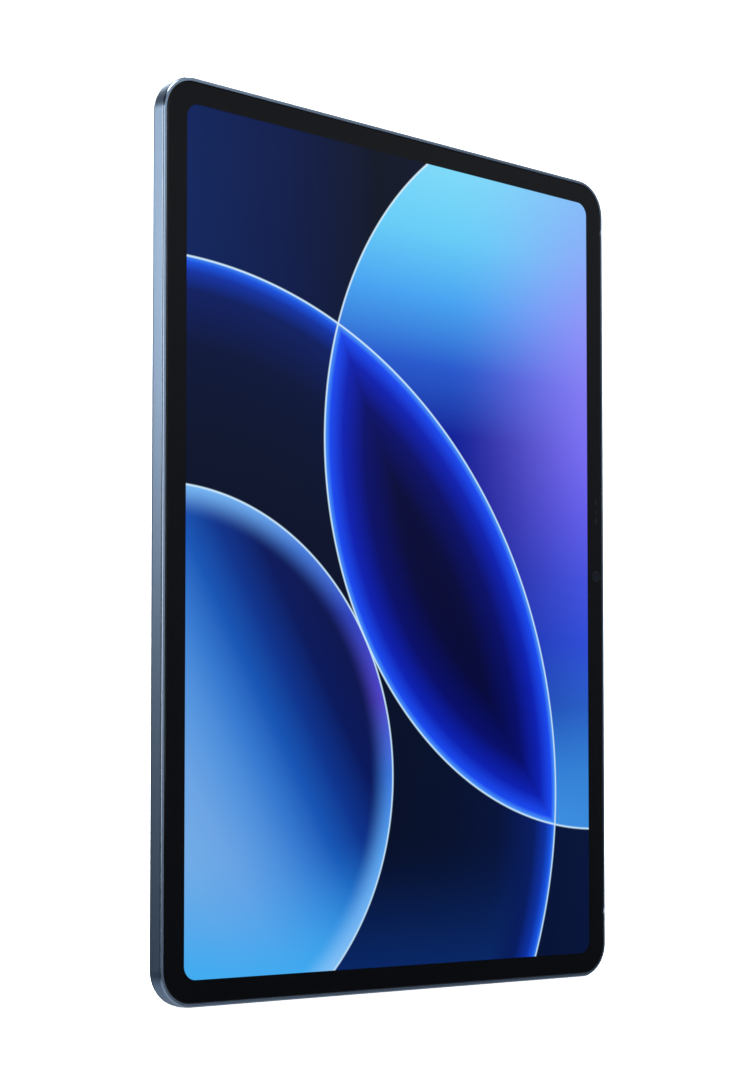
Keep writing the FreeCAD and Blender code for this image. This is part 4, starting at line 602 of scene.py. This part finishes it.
def merged_copy(node, name):
    """A one-skin copy of a model piece with smooth curves and crisp corners."""
    mesh = nodes[node].data.copy()
    mesh.name = name
    if mesh.attributes.get("custom_normal"):
        mesh.attributes.remove(mesh.attributes["custom_normal"])
    work = bmesh.new()
    work.from_mesh(mesh)
    bmesh.ops.remove_doubles(work, verts=work.verts, dist=WELD)
    bmesh.ops.dissolve_degenerate(work, edges=work.edges, dist=WELD)
    work.to_mesh(mesh)
    work.free()
    mesh.shade_smooth()
    mesh.set_sharp_from_angle(angle=CORNER_ANGLE)
    made = placed(name, mesh)
    weights = made.modifiers.new("Even flats", "WEIGHTED_NORMAL")
    weights.keep_sharp = True
    return made


housing = merged_copy("unibody_housing", "housing_shell")
housing.data.materials.append(cut_edge)
CUT_FROM, CUT_TO = -3.0 * MM, -2.45 * MM  # the cut edge lies between these depths
MOST_FORWARD, LEAST_FORWARD = -0.95, -0.2  # how far its faces turn to the front
cut_faces = 0
for face in housing.data.polygons:
    slopes = MOST_FORWARD < face.normal.y < LEAST_FORWARD
    if slopes and CUT_FROM < face.center.y < CUT_TO:
        above_middle = face.center.z - cad_high.z / 2
        if face.normal.x * face.center.x + face.normal.z * above_middle > 0:  # outwards
            face.material_index = 1
            cut_faces += 1
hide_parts("unibody_housing")
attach(housing, "tablet")
print("housing:", len(housing.data.polygons), "faces, of them", cut_faces, "on the cut edge")

# %% [markdown]
# ## Turned shapes
#
# Lenses, light baffles and Fresnel rings are all turned on a lathe. Such a shape is
# a list of rings, each at a depth with a radius, joined by bands of faces. Blender
# could spin a profile curve, but a list of numbers is just as short and says what a
# turner would say: depth and radius, one pair after another.

# %% Turn a shape from pairs of depth and radius
TIP_WELD, TURNED_CORNER = 0.0005 * MM, math.radians(30)


def turned(name, centre, pairs, material, steps=64):
    """A closed shape turned about an axis along Y; the centre, depths and radii are in mm."""
    work = bmesh.new()
    rings = []
    angles = [2 * math.pi * step / steps for step in range(steps)]
    for depth, radius in pairs:
        spots = [(radius * math.cos(angle), radius * math.sin(angle)) for angle in angles]
        spots = [(centre[0] + x, depth, centre[1] + z) for x, z in spots]
        rings.append([work.verts.new(Vector(spot) * MM) for spot in spots])
    for near, far in zip(rings, rings[1:] + rings[:1]):
        for step in range(steps):
            beside = (step + 1) % steps
            work.faces.new((near[step], near[beside], far[beside], far[step]))
    bmesh.ops.remove_doubles(work, verts=work.verts, dist=TIP_WELD)
    bmesh.ops.recalc_face_normals(work, faces=work.faces)
    mesh = bpy.data.meshes.new(name)
    work.to_mesh(mesh)
    work.free()
    mesh.shade_smooth()
    mesh.set_sharp_from_angle(angle=TURNED_CORNER)
    mesh.materials.append(material)
    return placed(name, mesh)


window_low, window_high = (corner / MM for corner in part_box("rear_camera_window"))
barrel_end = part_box("rear_lens_barrel")[1].y / MM
flash_low, flash_high = (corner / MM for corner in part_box("flash_window"))
camera_spot = ((window_low.x + window_high.x) / 2, (window_low.z + window_high.z) / 2)
flash_spot = ((flash_low.x + flash_high.x) / 2, (flash_low.z + flash_high.z) / 2)
for label, spot in (("camera", camera_spot), ("flash", flash_spot)):
    print(label, "at x and z, mm:", [round(value, 1) for value in spot])

# %% [markdown]
# ### The rear camera behind its window
#
# Through the window one sees a black mask printed on the glass, a stepped barrel
# that swallows stray light, and a domed front lens. The lens sits in the barrel's
# dish and rides with it when the camera focuses, so it belongs to that body. The
# mask stays with the tablet.

# %% Mask and front lens
MASK_HOLE, MASK_RADIUS = 3.0, 5.1
MASK_FAR, MASK_NEAR = 0.04, 0.01  # mm inside the window
mask_front, mask_back = window_low.y - MASK_FAR, window_low.y - MASK_NEAR
mask = turned("camera_window_mask", camera_spot, [
    (mask_front, MASK_HOLE), (mask_back, MASK_HOLE),
    (mask_back, MASK_RADIUS), (mask_front, MASK_RADIUS),
], finishes["black_plastic"])
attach(mask, "tablet")

DISH_DEPTH, LENS_EDGE = 0.8, 0.18  # the dish in the barrel's end, and the lens's rim in it
DOME_RISE, DOME_RADIUS, DOME_STEPS = 0.55, 1.95, 8
dome_edge = barrel_end - DISH_DEPTH + LENS_EDGE
climb = [index / DOME_STEPS * math.pi / 2 for index in range(DOME_STEPS + 1)]
dome = [(dome_edge + DOME_RISE * math.sin(a), DOME_RADIUS * math.cos(a)) for a in climb]
dome.insert(0, (dome_edge, 0.0))
front_lens = turned("rear_front_lens", camera_spot, dome, finishes["lens_glass"])
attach(front_lens, "focus_barrel")
print("turned", mask.name, "and", front_lens.name)

# %% [markdown]
# ### The rings of the flash window
#
# A flash has to spread its light evenly, so the inner face of its window is cut into
# rings with sloping faces, like a flat lens. Turning gives them in one go: the list
# steps in and out once for each ring.

# %% Turn the flash window
RING_COUNT, RING_OUTER, RING_PITCH, RING_WIDTH, RING_CUT = 9, 4.6, 0.45, 0.43, 0.18
ridges = []
for index in range(RING_COUNT):
    radius = RING_OUTER - RING_PITCH * index
    ridges += [(flash_low.y, radius), (flash_low.y + RING_CUT, radius - RING_WIDTH)]
outer = (flash_high.x - flash_low.x) / 2
flash_lens = turned("flash_ring_lens", flash_spot, [
    (flash_low.y, 0.0), *reversed(ridges),
    (flash_low.y, outer), (flash_high.y, outer), (flash_high.y, 0.0),
], finishes["window_glass"])
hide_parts("flash_window")
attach(flash_lens, "tablet")
print("turned", flash_lens.name, "with", RING_COUNT, "rings")

# %% [markdown]
# ## Woven dust screens, by Geometry Nodes
#
# Behind each row of speaker holes lies a screen woven from fine wire. Weaving is a
# rule: wires run both ways at one pitch, and each rises over one neighbour and dips
# under the next. Geometry Nodes state the rule once. Straight lines are copied along
# two directions, every point is lifted by the same wave of its own position, with
# the sign turned for the second direction, and a small round is swept along them.
# Real screens have a 0.1 mm pitch; it is drawn at 0.3 mm so that it shows.

# %% Build and run a geometry tree
def new_tree(name, inputs):
    """A geometry tree with named inputs; returns the tree and the sockets that give them."""
    tree = bpy.data.node_groups.new(name, "GeometryNodeTree")
    new_socket = tree.interface.new_socket
    for label, kind in {"Geometry": "Geometry", **inputs}.items():
        new_socket(name=label, in_out="INPUT", socket_type="NodeSocket" + kind)
    new_socket(name="Geometry", in_out="OUTPUT", socket_type="NodeSocketGeometry")
    return tree, add(tree, "NodeGroupInput").outputs


def grown(tree, name, spots, values):
    """Run the tree on loose points and keep the result as a plain mesh piece."""
    start = bpy.data.meshes.new(name + "_points")
    start.from_pydata([tuple(spot) for spot in spots], [], [])
    source = placed(name + "_source", start)
    modifier = source.modifiers.new("Grow", "NODES")
    modifier.node_group = tree
    for item in tree.interface.items_tree:
        if item.in_out == "INPUT" and item.name in values:
            modifier[item.identifier] = values[item.name]
    graph = bpy.context.evaluated_depsgraph_get()
    mesh = bpy.data.meshes.new_from_object(source.evaluated_get(graph), depsgraph=graph)
    mesh.name = name
    bpy.data.objects.remove(source)
    return placed(name, mesh)


print("geometry trees run in Blender", bpy.app.version_string)

# %% The rule of the weave
weave, given = new_tree("woven_screen", {
    "Pitch": "Float", "Wire diameter": "Float", "Columns": "Int", "Rows": "Int",
    "Wire": "Material",
})
pitch = given["Pitch"]
half_turn = {0: math.pi, 1: pitch}
half_turn = add(weave, "ShaderNodeMath", half_turn, operation="DIVIDE").outputs[0]
lift = {0: given["Wire diameter"], 1: 0.5}
lift = add(weave, "ShaderNodeMath", lift, operation="MULTIPLY").outputs[0]
wires = []
# Each direction: the count that gives its wires, the count that gives their length, the
# axis they run along, the axis they are laid out along, and the sign of the wave.
for count, length, along, aside, sign in (("Rows", "Columns", "X", "Y", 1),
                                          ("Columns", "Rows", "Y", "X", -1)):
    last = {0: given[count], 1: 1}
    last = add(weave, "ShaderNodeMath", last, operation="SUBTRACT").outputs[0]
    edges = []
    for steps, share in ((last, -0.5), (given[length], -0.5), (given[length], 0.5)):
        span = {0: steps, 1: pitch}
        span = add(weave, "ShaderNodeMath", span, operation="MULTIPLY").outputs[0]
        edge = {0: span, 1: share}
        edges.append(add(weave, "ShaderNodeMath", edge, operation="MULTIPLY").outputs[0])
    begin, stride, near_end, far_end = (
        add(weave, "ShaderNodeCombineXYZ", {axis: value}).outputs[0]
        for axis, value in ((aside, edges[0]), (aside, pitch), (along, edges[1]), (along, edges[2]))
    )
    places = {"Count": given[count], "Start Location": begin, "Offset": stride}
    places = add(weave, "GeometryNodeMeshLine", places, mode="OFFSET").outputs[0]
    line = {"Start": near_end, "End": far_end}
    line = add(weave, "GeometryNodeCurvePrimitiveLine", line).outputs[0]
    points = {0: given[length], 1: 2, 2: 1}
    points = add(weave, "ShaderNodeMath", points, operation="MULTIPLY_ADD").outputs[0]
    fine = {"Curve": line, "Count": points}
    fine = add(weave, "GeometryNodeResampleCurve", fine).outputs[0]
    copies = {"Points": places, "Instance": fine}
    copies = add(weave, "GeometryNodeInstanceOnPoints", copies).outputs[0]
    lines = add(weave, "GeometryNodeRealizeInstances", {"Geometry": copies}).outputs[0]
    here = add(weave, "GeometryNodeInputPosition").outputs[0]
    turns = {0: here, "Scale": half_turn}
    turns = add(weave, "ShaderNodeVectorMath", turns, operation="SCALE").outputs[0]
    turns = add(weave, "ShaderNodeSeparateXYZ", {0: turns}).outputs
    height = add(weave, "ShaderNodeMath", {0: turns["X"]}, operation="SINE").outputs[0]
    across = add(weave, "ShaderNodeMath", {0: turns["Y"]}, operation="COSINE").outputs[0]
    for factor in (across, sign, lift):
        height = {0: height, 1: factor}
        height = add(weave, "ShaderNodeMath", height, operation="MULTIPLY").outputs[0]
    shift = add(weave, "ShaderNodeCombineXYZ", {"Z": height}).outputs[0]
    lifted = {"Geometry": lines, "Offset": shift}
    wires.append(add(weave, "GeometryNodeSetPosition", lifted).outputs[0])
both_ways = add(weave, "GeometryNodeJoinGeometry", {"Geometry": wires}).outputs[0]
round_wire = {"Resolution": 4, "Radius": lift}
round_wire = add(weave, "GeometryNodeCurvePrimitiveCircle", round_wire).outputs[0]
cloth = add(weave, "GeometryNodeCurveToMesh", {
    "Curve": both_ways, "Profile Curve": round_wire, "Fill Caps": True,
}).outputs[0]
screens = {"Points": given["Geometry"], "Instance": cloth}
screens = add(weave, "GeometryNodeInstanceOnPoints", screens).outputs[0]
plain = add(weave, "GeometryNodeRealizeInstances", {"Geometry": screens}).outputs[0]
finished = {"Geometry": plain, "Material": given["Wire"]}
finished = add(weave, "GeometryNodeSetMaterial", finished).outputs[0]
add(weave, "NodeGroupOutput", {"Geometry": finished})
print("woven_screen has", len(weave.nodes), "nodes")

# %% Weave the four screens
mesh_low, mesh_high = (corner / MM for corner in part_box("speaker_meshes"))
box_low, box_high = (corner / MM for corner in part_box("speaker_box_top_right"))
grille_x = (box_low.x + box_high.x) / 2
screen_y = (mesh_low.y + mesh_high.y) / 2
WIRE, PITCH, ROWS = 0.07, 0.3, 7
columns = 2 * round((mesh_high.x - grille_x) / PITCH - 0.5)
INSET = 1.5 * WIRE  # keeps the woven wires inside the screens' box
screen_spots = [
    Vector((side * grille_x, screen_y, height)) * MM
    for side in (-1, 1) for height in (mesh_low.z + INSET, mesh_high.z - INSET)
]
screens = grown(weave, "woven_dust_screens", screen_spots, {
    "Pitch": PITCH * MM, "Wire diameter": WIRE * MM, "Columns": columns, "Rows": ROWS,
    "Wire": finishes["speaker_mesh"],
})
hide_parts("speaker_meshes")
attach(screens, "tablet")
print("screens:", columns, "by", ROWS, "wires,", len(screens.data.polygons), "faces")

# %% [markdown]
# ## Rows of capacitors, by Geometry Nodes
#
# A board is covered with small ceramic capacitors, soldered in rows along the edge
# of each shield. Each is a block with a metal cap on both ends. A tree copies one
# block along a row at a fixed pitch and leaves some places empty by a seeded random
# choice, as real boards do. The same tree runs twice with the same seed: once with
# the ceramic body and once with the caps, so that the two land together.

# %% A tree for rows of soldered blocks
SOFT_EDGE = 0.03  # mm


def rounded_blocks(name, blocks):
    """A small mesh of blocks with softened edges, each (low corner, high corner) in mm."""
    work = bmesh.new()
    for low, high in blocks:
        low, high = Vector(low) * MM, Vector(high) * MM
        size = high - low
        where = Matrix.Translation((low + high) / 2) @ Matrix.Diagonal((*size, 1.0))
        bmesh.ops.create_cube(work, size=1.0, matrix=where)
    bevel = {"offset": SOFT_EDGE * MM, "segments": 1, "affect": "EDGES"}
    bmesh.ops.bevel(work, geom=work.edges[:], **bevel)
    mesh = bpy.data.meshes.new(name)
    work.to_mesh(mesh)
    work.free()
    return bpy.data.objects.new(name, mesh)


rows, given = new_tree("component_rows", {
    "Part": "Object", "Pitch": "Float", "Count": "Int", "Filled share": "Float", "Seed": "Int",
    "Finish": "Material",
})
stride = add(rows, "ShaderNodeCombineXYZ", {"X": given["Pitch"]}).outputs[0]
row = {"Count": given["Count"], "Offset": stride}
row = add(rows, "GeometryNodeMeshLine", row, mode="OFFSET").outputs[0]
row_copies = {"Points": given["Geometry"], "Instance": row}
row_copies = add(rows, "GeometryNodeInstanceOnPoints", row_copies).outputs[0]
every_row = add(rows, "GeometryNodeRealizeInstances", {"Geometry": row_copies}).outputs[0]
chance = {"Probability": given["Filled share"], "Seed": given["Seed"]}
chosen = add(rows, "FunctionNodeRandomValue", chance, data_type="BOOLEAN")
chosen = next(out for out in chosen.outputs if out.enabled)
part = add(rows, "GeometryNodeObjectInfo", {"Object": given["Part"]}).outputs["Geometry"]
soldered = {"Points": every_row, "Instance": part, "Selection": chosen}
soldered = add(rows, "GeometryNodeInstanceOnPoints", soldered).outputs[0]
plain = add(rows, "GeometryNodeRealizeInstances", {"Geometry": soldered}).outputs[0]
finished = {"Geometry": plain, "Material": given["Finish"]}
finished = add(rows, "GeometryNodeSetMaterial", finished).outputs[0]
add(rows, "NodeGroupOutput", {"Geometry": finished})
print("component_rows has", len(rows.nodes), "nodes")

# %% Grow the capacitors
tan_ceramic = grained("fired_tan_ceramic", ("#8a6a48", "#a07f5a"), (0.5, 0.62), 0.3, 0.004)
LENGTH, DEEP, TALL, CAP = 0.9, 0.5, 0.45, 0.22  # mm; CAP is the length of one metal cap
TUCK, CAP_PROUD = 0.02, 0.01  # the ceramic runs into its caps, and they stand a little proud
ROW_PITCH, ROW_MARGIN, FILLED_SHARE, SEED = 1.3, 1.0, 0.8, 7
ROW_HEIGHTS = (0.9, 2.0)  # mm above the shields
SOLDER = 0.02  # mm between the board's front and the parts
shields = [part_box(name) for name in ("processor_shield", "radio_shield")]
shields = [(low / MM, high / MM) for low, high in shields]
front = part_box("mainboard")[0].y / MM - SOLDER
starts = [
    Vector((low.x + ROW_MARGIN, front, high.z + above)) * MM
    for low, high in shields for above in ROW_HEIGHTS
]
count = int((min(high.x - low.x for low, high in shields) - 2 * ROW_MARGIN) / ROW_PITCH)
body_end, body_side = LENGTH / 2 - CAP + TUCK, DEEP / 2 - TUCK
shapes = {
    "body": [((-body_end, -TALL, -body_side), (body_end, 0, body_side))],
    "caps": [
        ((low, -TALL - CAP_PROUD, -DEEP / 2), (low + CAP, 0, DEEP / 2))
        for low in (-LENGTH / 2, LENGTH / 2 - CAP)
    ],
}
finish_of = {"body": tan_ceramic, "caps": finishes["bright_steel"]}
for label, blocks in shapes.items():
    pattern = rounded_blocks("capacitor_" + label, blocks)
    piece = grown(rows, "board_capacitors_" + label, starts, {
        "Part": pattern, "Pitch": ROW_PITCH * MM, "Count": count,
        "Filled share": FILLED_SHARE, "Seed": SEED, "Finish": finish_of[label],
    })
    bpy.data.objects.remove(pattern)
    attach(piece, "tablet")
    print(piece.name, len(piece.data.polygons), "faces")

# %% [markdown]
# ## A plain studio
#
# The tablet stands on a pale sweep: a floor that curves up into a backdrop, so that
# no horizon shows. Metal and glass look like what they mirror, so the light matters
# more than any colour, and the sweep itself is hidden from mirrored and clear views.
# There are five soft lights: overhead, on the left, a tall narrow one in front that
# only the chamfer catches, and two behind that light the back. What the metal mirrors
# besides is a room in soft bands of light and dark from the floor to the ceiling,
# which gives the satin sides a calm fall of light from top to bottom.

# %% The sweep
sweep_material, tree = new_material("matt_paper_sweep")
place = add(tree, "ShaderNodeTexCoord").outputs["Object"]
FIBRE_MM = 3
fibre = {"Vector": place, "Scale": 1 / (FIBRE_MM * MM), "Detail": 2.0}
fibre = add(tree, "ShaderNodeTexNoise", fibre).outputs[0]
tones = [(0.3, "#f6f7f8"), (0.7, "#fafafb")]
tone = add(tree, "ShaderNodeValToRGB", {"Fac": fibre}, stops=tones).outputs[0]
paper = add(tree, "ShaderNodeBsdfPrincipled", {
    "Base Color": tone, "Roughness": 0.9, "Specular IOR Level": 0.1,
    "Emission Color": tone, "Emission Strength": 0.9,
})
add(tree, "ShaderNodeOutputMaterial", {"Surface": paper.outputs[0]})

# In metres: where the sweep starts and ends, its bend's radius, its height and half width.
FRONT, BACK, BEND, TOP, HALF_WIDTH = -3.0, 3.0, 1.2, 4.0, 4.0
BEND_STEPS = 16
profile = [(FRONT, 0.0), (BACK - BEND, 0.0)]
for index in range(1, BEND_STEPS + 1):
    angle = index / BEND_STEPS * math.pi / 2
    profile.append((BACK - BEND * (1 - math.sin(angle)), BEND * (1 - math.cos(angle))))
profile.append((BACK, TOP))
SWEEP_TURN = Quaternion((0, 0, 1), math.radians(-41.587))  # square to the camera, near enough
corners = [
    SWEEP_TURN @ Vector((side * HALF_WIDTH, y, z)) for y, z in profile for side in (-1, 1)
]
faces = [(2 * i, 2 * i + 1, 2 * i + 3, 2 * i + 2) for i in range(len(profile) - 1)]
sweep_mesh = bpy.data.meshes.new("paper_sweep")
sweep_mesh.from_pydata(corners, [], faces)
sweep_mesh.shade_smooth()
sweep_mesh.materials.append(sweep_material)
sweep = placed("paper_sweep", sweep_mesh)
sweep.visible_glossy = sweep.visible_transmission = False  # metal mirrors the room alone
print("sweep of", len(faces), "strips")

# %% Soft lights
AIM = Vector((0, 0, 0.12))  # the tablet's middle


def soft_light(name, place, wide, tall, power):
    """A soft light that faces the tablet; sizes in metres, power in watts."""
    light = bpy.data.lights.new(name, "AREA")
    light.shape, light.size, light.size_y, light.energy = "RECTANGLE", wide, tall, power
    lamp = placed(name, light)
    lamp.location = place
    lamp.rotation_euler = (AIM - Vector(place)).to_track_quat("-Z", "Y").to_euler()
    lamp.visible_camera = False


soft_light("overhead", (-0.2, 0.4, 2.2), 1.3, 1.3, 45)
soft_light("left", (-2.1, -0.55, 0.6), 1.3, 1.2, 9)
soft_light("front_strip", (0.75, -2.3, 0.75), 0.45, 1.4, 9)
soft_light("back_left", (-1.5, 1.7, 0.76), 0.6, 0.6, 3.3)
soft_light("back", (0.8, 2.1, 1.2), 1.3, 1.1, 34)

# %% The room
room = bpy.data.worlds.new("dim_room")
bpy.context.scene.world = room
room.use_nodes = True
tree = room.node_tree
tree.nodes.clear()
outwards = add(tree, "ShaderNodeTexCoord").outputs["Generated"]
upwards = add(tree, "ShaderNodeSeparateXYZ", {0: outwards}).outputs["Z"]
rise = {"Value": upwards, "From Min": -1.0, "From Max": 1.0}
rise = add(tree, "ShaderNodeMapRange", rise).outputs[0]
BANDS_UP = [  # from straight down to straight up
    (0.0, "#d5dce4"), (0.25, "#c2cbd5"), (0.36, "#2c3846"), (0.44, "#3d4854"), (0.52, "#646e79"),
    (0.64, "#b6bdc6"), (0.72, "#4c5763"), (0.8, "#1c2733"), (0.9, "#404b57"), (1.0, "#c6ccd4"),
]
bands = add(tree, "ShaderNodeValToRGB", {"Fac": rise}, stops=BANDS_UP).outputs[0]
dim = add(tree, "ShaderNodeBackground", {"Color": bands, "Strength": 0.6}).outputs[0]
white = {"Color": linear("#ffffff"), "Strength": 1.0}
white = add(tree, "ShaderNodeBackground", white).outputs[0]
seen = add(tree, "ShaderNodeLightPath").outputs["Is Camera Ray"]
either = add(tree, "ShaderNodeMixShader", {0: seen, 1: dim, 2: white}).outputs[0]
add(tree, "ShaderNodeOutputWorld", {"Surface": either})
bpy.context.scene.view_settings.view_transform = "Standard"
print("room with", len(BANDS_UP), "bands")

# %% [markdown]
# ## The camera
#
# A long lens from the front left, low down. The tablet's middle is higher than the
# camera, and most of that is made up by a rise of the lens, with only a slight tilt of
# the camera: that keeps the tablet's sides nearly upright in the frame, as on an
# architect's drawing.

# %% Place the camera
FOCAL_MM, SENSOR_MM, LENS_RISE = 74.07, 36.0, 0.14
EYE = (-0.43619, -0.47926, 0.05714)
YAW, PITCH_UP = math.radians(41.731), math.radians(2.626)
lens = bpy.data.cameras.new("camera")
lens.sensor_width, lens.lens, lens.shift_y = SENSOR_MM, FOCAL_MM, LENS_RISE
lens.clip_start, lens.clip_end = 0.05, 20.0
eye = placed("camera", lens)
eye.location = EYE
level = math.cos(PITCH_UP)
ahead = Vector((math.sin(YAW) * level, math.cos(YAW) * level, math.sin(PITCH_UP)))
eye.rotation_euler = ahead.to_track_quat("-Z", "Y").to_euler()
bpy.context.scene.camera = eye
print("camera", round(eye.location.length, 3), "m from the foot of the tablet")
